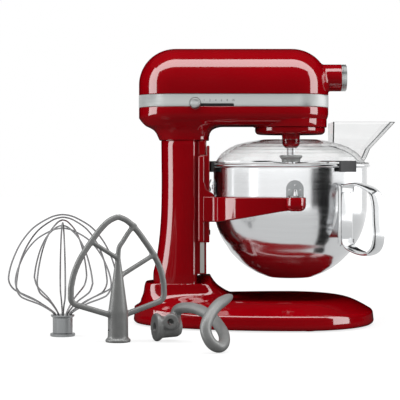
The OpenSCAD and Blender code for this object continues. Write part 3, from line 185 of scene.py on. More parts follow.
RAIL = finish("rail_steel", (0.29, 0.28, 0.265), 0.3, 1.0, grain=(1600, 1600, 30),
              bump=0.06, bump_grain=(2000, 2000, 30))
CAST = finish("cast_aluminium", (0.50, 0.50, 0.50), 0.5, 1.0, spread=0.1, grain=260, bump=0.35,
              bump_grain=900)
BRONZE = finish("bush_bronze", (0.52, 0.33, 0.14), 0.38, 1.0, spread=0.1, grain=300, bump=0.1,
                bump_grain=1500)
COPPER = finish("copper", (0.62, 0.26, 0.12), 0.32, 1.0, grain=(1500, 1500, 200), bump=0.3,
                bump_grain=(1200, 1200, 200))
PLASTIC = finish("dark_plastic", (0.055, 0.055, 0.058), 0.42, spread=0.12, grain=120, bump=0.12,
                 bump_grain=1800)
BLACK = finish("black_knob", (0.012, 0.012, 0.013), 0.22, spread=0.2, grain=90, bump=0.04,
               bump_grain=500, coat=0.5)
BOARD = finish("circuit_board", (0.02, 0.09, 0.045), 0.4, spread=0.25, grain=(400, 60, 400),
               bump=0.2, bump_grain=900)
RUBBER = finish("foot_rubber", (0.03, 0.03, 0.03), 0.75, spread=0.2, grain=200, bump=0.2,
                bump_grain=900)
INK = finish("dial_ink", (0.03, 0.03, 0.035), 0.5, spread=0.1, grain=800)


def clear_plastic():
    """Clear moulded plastic: tinted refraction whose shadow lets the light through."""
    material = finish("clear_plastic", (0.985, 0.99, 0.99), 0.035, spread=0.015,
                      grain=60, bump=0.03, bump_grain=70,
                      rough_spread=0.015, ior=1.49)
    tree, link = material.node_tree, material.node_tree.links.new
    shader = next(n for n in tree.nodes if n.type == "BSDF_PRINCIPLED")
    shader.inputs["Transmission Weight"].default_value = 1.0
    out = next(n for n in tree.nodes if n.type == "OUTPUT_MATERIAL")
    through = tree.nodes.new("ShaderNodeBsdfTransparent")
    through.inputs[0].default_value = (0.9, 0.92, 0.92, 1)
    path = tree.nodes.new("ShaderNodeLightPath")
    mix = tree.nodes.new("ShaderNodeMixShader")
    link(path.outputs["Is Shadow Ray"], mix.inputs[0])
    link(shader.outputs[0], mix.inputs[1])
    link(through.outputs[0], mix.inputs[2])
    link(mix.outputs[0], out.inputs[0])
    depth = tree.nodes.new("ShaderNodeVolumeAbsorption")
    depth.inputs["Color"].default_value = (0.55, 0.57, 0.57, 1)
    depth.inputs["Density"].default_value = 7.0
    link(depth.outputs[0], out.inputs["Volume"])
    return material


CLEAR = clear_plastic()


# ---- Mesh helpers; all lengths in millimetres ----

def new_object(name, data):
    obj = bpy.data.objects.new(name, data)
    bpy.context.scene.collection.objects.link(obj)
    return obj


def build_mesh(name, shape, weld=True, prune=False):
    """Mesh in metres from a shape in millimetres, with its faces turned outwards."""
    verts, faces = shape
    mesh = bpy.data.meshes.new(name)
    mesh.from_pydata([(x * MM, y * MM, z * MM) for x, y, z in verts], [], faces)
    form = bmesh.new()
    form.from_mesh(mesh)
    if weld:
        bmesh.ops.remove_doubles(form, verts=form.verts, dist=2e-6)
    if prune:
        bmesh.ops.dissolve_degenerate(form, edges=form.edges, dist=1e-7)
    bmesh.ops.recalc_face_normals(form, faces=form.faces)
    form.to_mesh(mesh)
    form.free()
    return mesh


def evaluated_mesh(obj):
    """A copy of the object's mesh with its modifiers applied."""
    bpy.context.view_layer.update()
    graph = bpy.context.evaluated_depsgraph_get()
    return bpy.data.meshes.new_from_object(obj.evaluated_get(graph))


def bevel_edges(obj, width, segments, sharp):
    edge = obj.modifiers.new("edges", "BEVEL")
    edge.width = width * MM
    edge.segments = segments
    edge.limit_method = "ANGLE"
    edge.angle_limit = radians(sharp)
    edge.harden_normals = True


def add(name, shape, material, body, replaces=(), sharp=38, bevel=0.0):
    """A new visible piece with its material, moved with a body; it hides the CAD nodes it replaces.
    """
    piece = new_object(name, build_mesh(name, shape, prune=True))
    return dress(piece, material, body, replaces, sharp, bevel)


def dress(piece, material, body, replaces=(), sharp=38, bevel=0.0):
    mesh = piece.data
    mesh.materials.clear()
    mesh.materials.append(material)
    mesh.polygons.foreach_set("use_smooth", [True] * len(mesh.polygons))
    if bevel:
        bevel_edges(piece, bevel, 3, sharp)
    else:
        mesh.set_sharp_from_angle(angle=radians(sharp))
    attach(piece, body)
    if replaces:
        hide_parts(*replaces)
    return piece


def merge(*shapes):
    verts, faces = [], []
    for v, f in shapes:
        base = len(verts)
        verts += v
        faces += [tuple(i + base for i in face) for face in f]
    return verts, faces


def move(shape, dx=0.0, dy=0.0, dz=0.0, turn=0.0):
    """The shape turned about Z, then moved."""
    c, s = cos(radians(turn)), sin(radians(turn))
    return [(x * c - y * s + dx, x * s + y * c + dy, z + dz) for x, y, z in shape[0]], shape[1]


def flip(shape):
    """The same shape on the other side of the middle plane."""
    return [(x, -y, z) for x, y, z in shape[0]], shape[1]


def skin(rings, first=True, last=True, closed=False):
    """Faces from ring to ring; the ends are capped, or joined to each other when closed."""
    n = len(rings[0])
    verts = [p for ring in rings for p in ring]
    faces = []
    count = len(rings) if closed else len(rings) - 1
    for i in range(count):
        a, b = i * n, ((i + 1) % len(rings)) * n
        faces += [(a + j, a + (j + 1) % n, b + (j + 1) % n, b + j) for j in range(n)]
    if not closed:
        if first:
            faces.append(tuple(range(n)))
        if last:
            faces.append(tuple(range(len(verts) - n, len(verts))))
    return verts, faces


def spin(profile, at=(0, 0, 0), axis="z", steps=96, closed=False):
    """Turned shape; the profile holds radius and distance along the axis."""
    rings = []
    for r, h in profile:
        ring = []
        for i in range(steps):
            a = 2 * pi * i / steps
            u, v = r * cos(a), r * sin(a)
            p = {"z": (u, v, h), "x": (h, u, v), "y": (v, h, u)}[axis]
            ring.append(tuple(p[k] + at[k] for k in range(3)))
        rings.append(ring)
    return skin(rings, first=profile[0][0] > 0, last=profile[-1][0] > 0, closed=closed)


def arc(cx, cy, r, a0, a1, n):
    """Points on a circle from one angle in degrees to another."""
    return [(cx + r * cos(radians(a0 + (a1 - a0) * i / n)),
             cy + r * sin(radians(a0 + (a1 - a0) * i / n))) for i in range(n + 1)]


def curve(points, n=6):
    """Smooth line through the points."""
    out = []
    for i in range(len(points) - 1):
        a, b = points[max(i - 1, 0)], points[i]
        c, d = points[i + 1], points[min(i + 2, len(points) - 1)]
        for k in range(n):
            t = k / n
            out.append(tuple(
                0.5 * (2 * b[j] + (c[j] - a[j]) * t
                       + (2 * a[j] - 5 * b[j] + 4 * c[j] - d[j]) * t * t
                       + (3 * b[j] - a[j] - 3 * c[j] + d[j]) * t ** 3)
                for j in range(len(b))))
    return out + [tuple(points[-1])]


def prism(outline, low, high):
    """Outline in X and Z pushed along Y."""
    return skin([[(x, y, z) for x, z in outline] for y in (low, high)])


def box(low, high):
    corners = ((low[0], low[1]), (high[0], low[1]), (high[0], high[1]), (low[0], high[1]))
    return skin([[(x, y, z) for x, y in corners] for z in (low[2], high[2])])


def rounded(w, t, e=3.0, n=16):
    """Rounded section, w wide and t thick."""
    out = []
    for i in range(n):
        a = 2 * pi * (i + 0.5) / n
        c, s = cos(a), sin(a)
        out.append((w / 2 * abs(c) ** (2 / e) * (1 if c > 0 else -1),
                    t / 2 * abs(s) ** (2 / e) * (1 if s > 0 else -1)))
    return out


def sweep(path, section, up=None):
    """Section carried along a path; up keeps its first direction fixed."""
    points = [Vector(p) for p in path]
    side = None
    rings = []
    for i, p in enumerate(points):
        t = (points[min(i + 1, len(points) - 1)] - points[max(i - 1, 0)]).normalized()
        if up is not None:
            u = Vector(up)
            u = (u - t * u.dot(t)).normalized()
        else:
            if side is None:
                side = Vector((0, 0, 1)) if abs(t.z) < 0.9 else Vector((1, 0, 0))
            u = (side - t * side.dot(t)).normalized()
            side = u
        v = t.cross(u)
        local = section(i / (len(points) - 1)) if callable(section) else section
        rings.append([tuple(p + u * a + v * b) for a, b in local])
    return skin(rings)


def circle(r, n=16):
    return [(r * cos(2 * pi * i / n), r * sin(2 * pi * i / n)) for i in range(n)]


def along(rows, share):
    """Row values at a share; lines run on straight past the ends."""
    above = next((k for k, row in enumerate(rows) if row[0] >= share), len(rows))
    i = max(1, min(len(rows) - 1, above))
    a, b = rows[i - 1], rows[i]
    t = (share - a[0]) / (b[0] - a[0])
    return [a[k] + (b[k] - a[k]) * t for k in range(1, len(a))]


def egg_reach(angle, rear, front, half, e):
    """Distance from the middle to an egg-shaped outline."""
    c, s = abs(cos(angle)), abs(sin(angle))
    ax = front if cos(angle) > 0 else rear
    return 1 / ((c / ax) ** e + (s / half) ** e) ** (1 / e)


def egg_ring(z, rear_x, mid_x, front_x, half, rear_e, front_e, n=128):
    """Egg-shaped ring; a larger exponent e gives squarer corners."""
    ring = []
    for i in range(n):
        a = 2 * pi * i / n
        c, s = cos(a), sin(a)
        e = front_e if c > 0 else rear_e
        ax = front_x - mid_x if c > 0 else mid_x - rear_x
        ring.append((mid_x + ax * abs(c) ** (2 / e) * (1 if c > 0 else -1),
                     half * abs(s) ** (2 / e) * (1 if s > 0 else -1), z))
    return ring


def soft_max(a, b, k):
    """The larger of two heights, blended over a width k where they cross."""
    h = max(0.0, k - abs(a - b)) / k
    return max(a, b) + h * h * k / 4


def soft_min(a, b, k):
    return -soft_max(-a, -b, k)


def solve(f, low, high, halvings=34):
    """Zero of a falling function between two values."""
    for _ in range(halvings):
        mid = (low + high) / 2
        if f(mid) > 0:
            low = mid
        else:
            high = mid
    return (low + high) / 2


# ---- Base and pedestal ----

def base_reach(x, inset):
    return (BASE_FRONT if x > 0 else BASE_REAR) - inset


def base_inset(x, y):
    """How far a point lies inside the base's outline."""
    return solve(lambda d: 1 - (x / base_reach(x, d)) ** 2 - (y / (BASE_HALF - d)) ** 2, 0, 120)


# Share of the height, reach past the column at the rear, front and sides, exponent of the outline
PEDESTAL = curve([
    (0.28, 52, 130, 62, 2), (0.405, 34, 82, 36, 2), (0.514, 30.5, 70, 25, 2.25),
    (0.595, 28, 54, 17.5, 2.6), (0.676, 26.5, 42, 13, 2.9), (0.77, 25.5, 31, 10.5, 3.2),
    (0.865, 23.5, 24, 8.8, 3.4), (0.946, 20, 20, 7.5, 3.4), (1, 16, 18, 6, 3.4)], 6)


def pedestal_reach(angle, share):
    rear, front, side, e = along(PEDESTAL, share)
    return egg_reach(angle, 39 + rear, 18 + front, COLUMN_HALF + side, e)


def ledge_height(x, y):
    """Top of the pedestal: full height in front, lower along the sides and the rear."""
    t = max(0.0, min(1.0, (abs(degrees(atan2(y, x - COLUMN_X))) - 26) / 30))
    return PEDESTAL_H - LEDGE_DROP * t * t * (3 - 2 * t)


def base_height(x, y):
    """Rounded edge, then a slope up to the flat top, blended into the pedestal."""
    d = base_inset(x, y)
    if d < EDGE_W:
        dome = EDGE_Z + sqrt(max(0.0, EDGE_R ** 2 - (EDGE_R + 1 - max(EDGE_LEAN, d)) ** 2))
    else:
        dome = SLOPE_Z + SLOPE_H * sin(pi / 2 * min(1, (d - EDGE_W) / SLOPE_W))
    angle, reach = atan2(y, x - COLUMN_X), hypot(x - COLUMN_X, y)
    share = solve(lambda s: pedestal_reach(angle, s) - reach, 0.05, 1.0)
    return soft_min(soft_max(dome, share * PEDESTAL_H, 9.0), ledge_height(x, y), 2.0)


def base_shape():
    """From the underside round the edge and in over the top to the column."""
    n, lerps = 256, 72
    plan = [(cos(2 * pi * i / n), sin(2 * pi * i / n)) for i in range(n)]

    def level(z, inset):
        return [(base_reach(c, inset) * c, (BASE_HALF - inset) * s, z) for c, s in plan]

    rings = [level(9.4, 10.0), level(2.5, 9.2), level(2.0, 8.6), level(2.0, 3.8),
             level(2.6, 2.8), level(3.8, 1.3), level(5.4, 0.4), level(7.4, 0), level(12, 0.55)]
    edge = level(EDGE_Z, EDGE_LEAN)
    inner = []
    for x, y, _ in edge:
        angle = atan2(y, x - COLUMN_X)
        r = pedestal_reach(angle, 1.0)
        inner.append((COLUMN_X + r * cos(angle), r * sin(angle)))
    for k in range(lerps + 1):
        t = 0.5 * (1 - cos(pi * k / lerps))
        ring = []
        for (x0, y0, _), (x1, y1) in zip(edge, inner):
            x, y = x0 + (x1 - x0) * t, y0 + (y1 - y0) * t
            ring.append((x, y, EDGE_Z if k == 0 else base_height(x, y)))
        rings.append(ring)
    for shrink, lift in ((0.6, 0.1), (2.0, 0.2), (6.0, 0.2), (26.0, 0.0)):
        rings.append([(x + (COLUMN_X - x) * shrink / 60, y * (1 - shrink / 60),
                       ledge_height(x, y) + lift) for x, y in inner])
    return skin(rings)


add("base_shell", base_shape(), PAINT, "stand", ("base_casting",), sharp=50)


# ---- Column with its lift guide ----

# Share of the height, then how much the column grows at the rear and the sides
COLUMN = [(0, 12, 1.4), (0.08, 12, 1.4), (0.15, 8.5, 0.9), (0.25, 5, 0.4), (0.36, 2.2, 0.1),
          (0.5, 0.2, 0), (0.7, -0.6, 0), (1, 0, 0)]


def column_shape():
    rings = []
    for share, out, wide in curve(COLUMN, 5):
        z = COLUMN_Z + (SEAM_Z - COLUMN_Z) * share - (0.8 if share >= 1 else 0)
        rings.append(egg_ring(z, COLUMN_REAR - out, COLUMN_X, COLUMN_FRONT, COLUMN_HALF + wide,
                              *COLUMN_E))
    rings.append(egg_ring(SEAM_Z - 0.2, COLUMN_REAR + 0.6, COLUMN_X, COLUMN_FRONT - 0.4,
                          COLUMN_HALF - 0.6, *COLUMN_E))
    return skin(rings)


def guide_shape():
    """Frame in front of the column, with the slot that the slide block runs in."""
    outer = [(-36, 77), (36, 77), (36, 278.6), (-36, 278.6)]
    inner = [(-11.8, 81), (11.8, 81), (11.8, 273), (-11.8, 273)]
    verts = [(x, y, z) for x in (-146, -128) for y, z in outer + inner]
    faces = []
    for i in range(4):
        j = (i + 1) % 4
        faces += [(i, j, 4 + j, 4 + i), (8 + i, 8 + j, 12 + j, 12 + i),
                  (i, j, 8 + j, 8 + i), (4 + i, 4 + j, 12 + j, 12 + i)]
    return verts, faces


add("column_shell", column_shape(), PAINT, "stand", ("column_casting",), sharp=50)
add("guide_posts", guide_shape(), PAINT, "stand", ("column_casting",), bevel=1.2)

add("lever_boss", spin([(8, 26), (12.8, 26), (12.6, 42.6), (12, 43.3), (8, 43.3)],
                       at=(-186, 0, 112), axis="y", closed=True),
    PAINT, "stand", ("column_casting",))


# ---- Head ----

def stadium(r, z, n=160):
    """Outline of the head at a height; its points keep their places from ring to ring."""
    side = 24
    bow = (n - 2 * side) // 2
    ring = [(r * cos(pi * (i / bow - 0.5)), r * sin(pi * (i / bow - 0.5)), z) for i in range(bow)]
    ring += [(-HEAD_SPAN * i / side, r, z) for i in range(side)]
    ring += [(-HEAD_SPAN + r * cos(pi * (i / bow + 0.5)), r * sin(pi * (i / bow + 0.5)), z)
             for i in range(bow)]
    ring += [(-HEAD_SPAN + HEAD_SPAN * i / side, -r, z) for i in range(side)]
    return ring


# Share of the neck's height, then its reach past the column at the rear, front and sides
NECK = [(0, 2.5, 16, 1), (0.25, 5, 16, 1.4), (0.5, 7.5, 17.5, 2), (0.7, 11, 20, 3),
        (0.88, 17, 26, 5), (1.05, 24, 35, 7), (1.3, 29, 50, 9)]


def neck_reach(angle, share):
    rear, front, side = along(NECK, share)
    return egg_reach(angle, 37 + rear, 20 + front, COLUMN_HALF + side,
                     2.3 if cos(angle) < 0 else 3.2)


def belly_height(x, y):
    """Underside of the head, blended into the neck."""
    nearest = max(-HEAD_SPAN, min(0.0, x))
    d = HEAD_R - hypot(x - nearest, y)
    belly = FLOOR_Z
    if d < BELLY_R:
        belly = BELLY_Z - sqrt(max(0.0, BELLY_R ** 2 - (BELLY_R - max(0.0, d)) ** 2))
    angle, reach = atan2(y, x - NECK_X), hypot(x - NECK_X, y)
    share = solve(lambda s: reach - neck_reach(angle, s), 0.0, 6.0)
    return max(SEAM_Z, soft_min(belly, SEAM_Z + share * NECK_H, 5.0))


def recess_rings(edge_z, way):
    """From the groove behind the band out to the head's full width, up or down."""
    return [stadium(RECESS_R - 4, SPLIT_Z), stadium(RECESS_R, SPLIT_Z), stadium(RECESS_R, edge_z),
            stadium(HEAD_R - 0.7, edge_z), stadium(HEAD_R - 0.15, edge_z + 0.3 * way),
            stadium(HEAD_R, edge_z + way)]


def belly_shape():
    lerps = 50
    edge = stadium(HEAD_R, BELLY_Z)
    inner = []
    for x, y, _ in edge:
        angle = atan2(y, x - NECK_X)
        r = neck_reach(angle, 0.0)
        inner.append((NECK_X + r * cos(angle), r * sin(angle)))
    rings = recess_rings(BAND_Z0, -1)
    for k in range(lerps + 1):
        t = 0.5 * (1 - cos(pi * k / lerps))
        ring = []
        for (x0, y0, _), (x1, y1) in zip(edge, inner):
            x, y = x0 + (x1 - x0) * t, y0 + (y1 - y0) * t
            z = BELLY_Z if k == 0 else SEAM_Z + 0.6 if k == lerps else belly_height(x, y)
            ring.append((x, y, max(z, SEAM_Z + 0.6)))
        rings.append(ring)
    rings.append([(NECK_X + (x - NECK_X) * 0.985, y * 0.985, SEAM_Z + 0.1) for x, y in inner])
    return skin(rings)


def crown_shape():
    rings = recess_rings(BAND_Z1, 1)
    rings += [stadium(r, z) for r, z in arc(HEAD_R - CROWN_R, CROWN_Z, CROWN_R, 0, 90, 36)]
    return skin(rings)


def crown_x(y, z):
    """Where the front of the head lies at a height and a distance off the middle."""
    r = HEAD_R
    if z >= CROWN_Z:
        r += sqrt(max(0, CROWN_R ** 2 - (z - CROWN_Z) ** 2)) - CROWN_R
    return sqrt(max(0, r * r - y * y))


def hub_shape():
    """Hub barrel with a small blend where it leaves the head."""
    fillet, n = 3.2, 96
    rows = [(fillet * (1 - sin(radians(b))), fillet * (1 - cos(radians(b))))
            for b in range(0, 91, 15)]
    rings = []
    for grow, lift in [(rows[0][0], -2.0)] + rows:
        ring = []
        for i in range(n):
            a = 2 * pi * i / n
            y, z = (HUB_R + grow) * cos(a), HUB_Z + (HUB_R + grow) * sin(a)
            ring.append((crown_x(y, z) + lift, y, z))
        rings.append(ring)
    for r, x in ((HUB_R, 76), (HUB_R, HUB_X - 0.7), (HUB_R - 0.5, HUB_X - 0.1),
                 (18.8, HUB_X - 0.1), (16.2, HUB_X - 0.1), (15.9, 72)):
        rings.append([(x, r * cos(2 * pi * i / n), HUB_Z + r * sin(2 * pi * i / n))
                      for i in range(n)])
    return skin(rings)


add("head_belly", belly_shape(), PAINT, "stand", ("lower_housing",), sharp=50)
add("head_crown", crown_shape(), PAINT, "stand", ("upper_housing",), sharp=50)
add("hub_barrel", hub_shape(), PAINT, "stand", ("upper_housing",), sharp=50)
add("drive_skirt", spin([(56, 314), (56, 300.2), (55.6, 299.3), (54.8, 299), (40, 299)]),
    PAINT, "stand", ("lower_housing",))
add("screw_boss", spin([(6, 18), (6, 24.2), (5.6, 24.6), (3, 24.6)], at=(68, 0, HUB_Z), axis="y",
                       steps=48),
    PAINT, "stand", ("upper_housing",))


# ---- Trim band, speed control and scale ----

SLOT_X0, SLOT_X1, SLOT_TOP, SLOT_R = -150.0, -87.0, 333.1, 1.6


def band_low(x, y):
    """Lower edge of the band; it steps up over the speed slot."""
    if y > 0 or x < SLOT_X0 or x > SLOT_X1:
        return BAND_Z0 + 0.15
    d = min(x - SLOT_X0, SLOT_X1 - x, SLOT_R)
    return SLOT_TOP - SLOT_R + sqrt(max(0.0, SLOT_R ** 2 - (SLOT_R - d) ** 2))


def band_shape():
    """Closed ring: front bow, far side, rear bow, then the near side with the slot."""
    n = 112
    stations = [(0.0, cos(pi * (i / n - 0.5)), sin(pi * (i / n - 0.5)), False)
                for i in range(n + 1)]
    stations += [(-HEAD_SPAN * i / 12, 0, 1, False) for i in range(1, 12)]
    stations += [(-HEAD_SPAN, cos(pi * (i / n + 0.5)), sin(pi * (i / n + 0.5)), False)
                 for i in range(n + 1)]
    xs = [-168, -160, SLOT_X0 - 0.02]
    xs += [SLOT_X0 + d for d in (0, 0.1, 0.3, 0.7, 1.1, 1.6, 6, 14, 22, 30, 38, 46, 54)]
    xs += [SLOT_X1 - d for d in (1.6, 1.1, 0.7, 0.3, 0.1, 0)]
    xs += [SLOT_X1 + 0.02, -80, -70, -55, -40, -25, -12]
    stations += [(x, 0, -1, True) for x in xs]
    rings = []
    for x, c, s, near in stations:
        low = band_low(x, -1) if near else BAND_Z0 + 0.15
        high = BAND_Z1 - 0.15
        section = [(RECESS_R + 0.1, low), (BAND_R - 0.9, low), (BAND_R - 0.25, low + 0.25),
                   (BAND_R, low + 0.9), (BAND_R, high - 0.9), (BAND_R - 0.25, high - 0.25),
                   (BAND_R - 0.9, high), (RECESS_R + 0.1, high)]
        rings.append([(x + r * c, r * s, z) for r, z in section])
    return skin(rings, closed=True)


add("trim_band_ring", band_shape(), BAND, "stand", ("trim_band",), sharp=30)
add("slot_shadow", box((-151, -56.4, 329.1), (-86, -55.6, 334)), PLASTIC, "stand",
    bevel=0.2)
add("speed_ball", spin([(0, -67.5), (2.2, -67.42), (4.2, -67.0), (6.0, -66.2), (7.4, -64.9),
                        (8.3, -63.2), (8.8, -61.2), (8.8, -60.3), (8.5, -59.9), (0, -59.9)],
                       at=(-145, 0, 333.9), axis="y", steps=64),
    BAND, "speed_lever", ("speed_knob",))


def numeral(text, x, z, height):
    """Plain number on the band's near side."""
    data = bpy.data.curves.new("figure_" + text, "FONT")
    data.body = text
    data.size = height * MM * 1.35  # from a figure's height to the font's size
    data.align_x = "CENTER"
    data.extrude = 0.00004
    data.resolution_u = 3
    figure = new_object("figure_" + text, data)
    mesh = evaluated_mesh(figure)
    bpy.data.objects.remove(figure)
    for v in mesh.vertices:
        u, w, d = v.co
        v.co = (x * MM + u, -(BAND_R * MM) + 0.00002 - d, z * MM + w)
    return dress(new_object("scale_" + text, mesh), INK, "stand")


for i, text in enumerate(("1", "2", "4", "6", "8", "10")):
    numeral(text, -131.5 + 8.6 * i, 336.6, 3.4)


# ---- Planetary drive ----

add("planetary_cover", spin([(0, 298.6), (52.6, 298.6), (53.4, 298.2), (53.5, 297.4)]
                            + [(r, z) for r, z in arc(47, 294.6, 6.5, 0, -90, 12)]
                            + [(0, 288.1)]),
    PAINT, "planetary", ("planetary_housing",))
add("planetary_boss", spin([(16, 289.4), (14.6, 288.6), (13.7, 286.6), (13, 274.1), (12.8, 273.0),
                            (12.2, 272.2), (9.2, 268.4), (8.5, 268.1), (6.6, 268.1), (6.5, 272)],
                           at=(0, DRIVE_Y, 0), steps=64),
    PAINT, "planetary", ("planetary_housing",))


# ---- Bowl, ears and handle ----

# Radius of the bowl's outside and height above its lowest point
WALL = [(28, 0), (33, 0.6), (40, 3), (51.3, 7.6), (59.7, 12.2), (67.3, 16.8), (76, 23.5),
        (83.4, 30.6), (91, 38.5), (97, 48), (103.5, 57.5), (109, 69), (113, 81), (116, 95),
        (BOWL_R, 108), (BOWL_R, 125)]


def bowl_profile():
    wall = curve(WALL, 4)
    outer = [(0, BOWL_Z)] + [(r, BOWL_Z + h) for r, h in wall]
    outer += [(BOWL_R, 215), (BOWL_R, 236.2)]
    roll = [(117.1, 237.6), (117.8, 238.5)] + arc(119.25, 240.65, 2.35, -100, 150, 18)
    inner = [(116.2, 241.4), (115.7, 240), (115.6, 215)]
    inner += [(r - BOWL_T, BOWL_Z + max(h, 0) + BOWL_T) for r, h in reversed(wall)]
    return outer + roll + inner + [(0, BOWL_Z + BOWL_T)]


add("bowl_shell", spin(bowl_profile(), steps=160), BOWL_STEEL, "bowl", ("bowl",),
    sharp=60)

for name, x, z in (("left", -8.0, 204.8), ("right", 8.0, 204.8), ("top", 0.2, 211.8)):
    for side, sign in (("near", -1), ("far", 1)):
        y = sqrt(119 ** 2 - x * x)
        dot = spin([(0, y + 0.65), (0.7, y + 0.5), (1.2, y + 0.1), (1.3, y - 0.4)],
                   at=(x, 0, z), axis="y", steps=20)
        add(f"ear_weld_{side}_{name}", dot if sign > 0 else flip(dot), BRIGHT, "bowl")

# Direction of the handle in degrees, its farthest reach and the height of its top run
HANDLE_A, OUT, HZ = -49.0, 183.4, ARM_Z + 20
HANDLE = [(119.4, HZ - 12), (121, HZ - 3), (131, HZ), (0.8 * OUT, HZ - 0.5), (OUT - 11, HZ - 10),
          (OUT - 3, HZ - 27), (OUT - 1.5, HZ - 50), (OUT, HZ - 74), (OUT - 4, HZ - 92),
          (OUT - 16, HZ - 102), (OUT - 33, HZ - 103), (OUT - 54, HZ - 97), (121, HZ - 90),
          (119.4, HZ - 82)]


def strap_section():
    """Dished strap: its outer face bulges and its edges are rolled round."""
    across = [-1, -0.98, -0.93, -0.85, -0.7, -0.5, -0.25, 0, 0.25, 0.5, 0.7, 0.85, 0.93, 0.98, 1]
    outer = [(12.2 * u, 1.6 - 1.8 * u * u - 12 * max(0, abs(u) - 0.9)) for u in across]
    inner = [(12.1 * u, -0.8 - 1.8 * u * u) for u in reversed(across)]
    return outer + inner


strap = sweep([(x, 0, z) for x, z in curve(HANDLE, 7)], strap_section(), up=(0, 1, 0))
add("handle_strap", move(strap, turn=HANDLE_A), BOWL_STEEL, "bowl",
    ("bowl_handle",), sharp=60)


def curved_plate(r0, r1, z0, z1, half, corner, turn, n=20):
    """Plate that hugs the bowl; its corners are round and its flanks thin out to the bowl."""
    def ring(r):
        low, high = [], []
        for i in range(n + 1):
            u = -half + 2 * half * i / n
            d = corner - min(corner, half - abs(u))
            cut = corner - sqrt(max(0.0, corner ** 2 - d * d))
            a = u / r1 + radians(turn)
            low.append((r * cos(a), r * sin(a), z0 + cut))
            high.append((r * cos(a), r * sin(a), z1 - cut))
        return low, high
    (l0, h0), (l1, h1) = ring(r0), ring(r1)
    flank = []
    for i in range(n + 1):
        u = half - abs(-half + 2 * half * i / n)
        t = min(1.0, u / 5.0)
        t = t * t * (3 - 2 * t)
        flank.append((tuple(a + (b - a) * t for a, b in zip(l0[i], l1[i])),
                      tuple(a + (b - a) * t for a, b in zip(h0[i], h1[i]))))
    return skin([[l0[i], (*flank[i][0][:2], flank[i][0][2] + 3.0),
                  (*flank[i][1][:2], flank[i][1][2] - 3.0), h0[i]] for i in range(n + 1)])


add("handle_plate", curved_plate(BOWL_R + 0.05, 119.6, HZ - 92, HZ - 1, 16, 5, HANDLE_A, n=40),
    BOWL_STEEL, "bowl", ("bowl_handle",), sharp=60)


# ---- Lift yoke ----

def arm_shape():
    """Arm round the bowl: straight root, bow about a centre, straight end."""
    cx, cy, r = -41.6, 46.0, 79.0
    outer = [(-133, 46.3), (-119.6, 46.3), (-117.6, 47), (-116.7, 49.2), (-116.5, 60)]
    inner = [(-133, 38.4), (-114, 38.4), (-111.4, 39.6), (-110.2, 43), (-110, 60)]
    for i in range(29):
        a = radians(161.4 - 71.4 * i / 28)
        outer.append((cx + r * cos(a), cy + r * sin(a)))
        inner.append((cx + (r - ARM_T) * cos(a), cy + (r - ARM_T) * sin(a)))
    for x in (-30, -20, -10, 0):
        outer.append((x, ARM_Y))
        inner.append((x, ARM_Y - ARM_T))
    sections = []
    for (x0, y0), (x1, y1) in zip(outer, inner):
        low = 156 + 18.5 * max(0.0, min(1.0, (x0 + 120) / 106))
        sections.append([(x0, y0, ARM_Z), (x0, y0, low), (x1, y1, low), (x1, y1, ARM_Z)])
    return skin(sections)


def pad_shape():
    """Round pad at the arm's end, pressed back where it would meet the bowl."""
    profile = [(0, 174)] + [(r, z) for r, z in arc(5.5, 183, 9, -90, 0, 12)]
    profile += [(14.5, 192.8), (14.1, 193.6), (13.3, 194), (0, 194)]
    verts, faces = spin(profile, at=(1, ARM_Y, 0), steps=64)
    kept = []
    for x, y, z in verts:
        d = hypot(x, y)
        if d < PAD_CLEAR_R:
            x, y = x * PAD_CLEAR_R / d, y * PAD_CLEAR_R / d
        kept.append((x, y, z))
    return kept, faces


side_plate = prism([(-140.6, 125), (-131, 125), (-131, 256), (-140.6, 256)], 38.2, 46)
rail_cap = box((-139.8, 36.2, 256.4), (-129.4, 39.8, 278.4))
web = prism([(-133, 125), (-123.4, 125), (-123.4, 270.6), (-127.6, 270.6), (-127.6, 256),
             (-133, 256)], 36.4, 42)
gusset = prism([(-134, 156), (-118.5, 156), (-116.8, 160), (-116.2, 190), (-117.2, 196)]
               + curve([(-117.8, 198), (-123.5, 201.5), (-128.6, 207), (-131, 216)], 5)
               + [(-134, 216)], 39, 45.6)
bridge = box((-127.6, -37, 125), (-123.4, 37, 190))
pin = spin([(3.7, 192), (3.6, 194.5), (2.3, 205.2), (1.7, 206), (0, 206.2)], at=(0, 127.5, 0),
           steps=32)
for label, turned in (("near", True), ("far", False)):
    for part, shape, width in (("arm", arm_shape(), 1.7), ("pad", pad_shape(), 0),
                               ("plate", side_plate, 3.3), ("web", web, 1.2),
                               ("gusset", gusset, 1.2)):
        add(f"yoke_{part}_{label}", flip(shape) if turned else shape, PAINT, "carriage",
            ("lift_yoke",), bevel=width, sharp=36)
    add(f"rest_pin_{label}", flip(pin) if turned else pin, BRIGHT, "carriage",
        ("lift_yoke",), sharp=60)
for label, shape in (("near", flip(rail_cap)), ("far", rail_cap)):
    add(f"rail_cap_{label}", shape, PAINT, "stand", bevel=1.2)
add("yoke_bridge", bridge, PAINT, "carriage", ("lift_yoke",), bevel=1.2)


# ---- Tools ----

VOXEL, EASE_STEPS = 1.3, 5


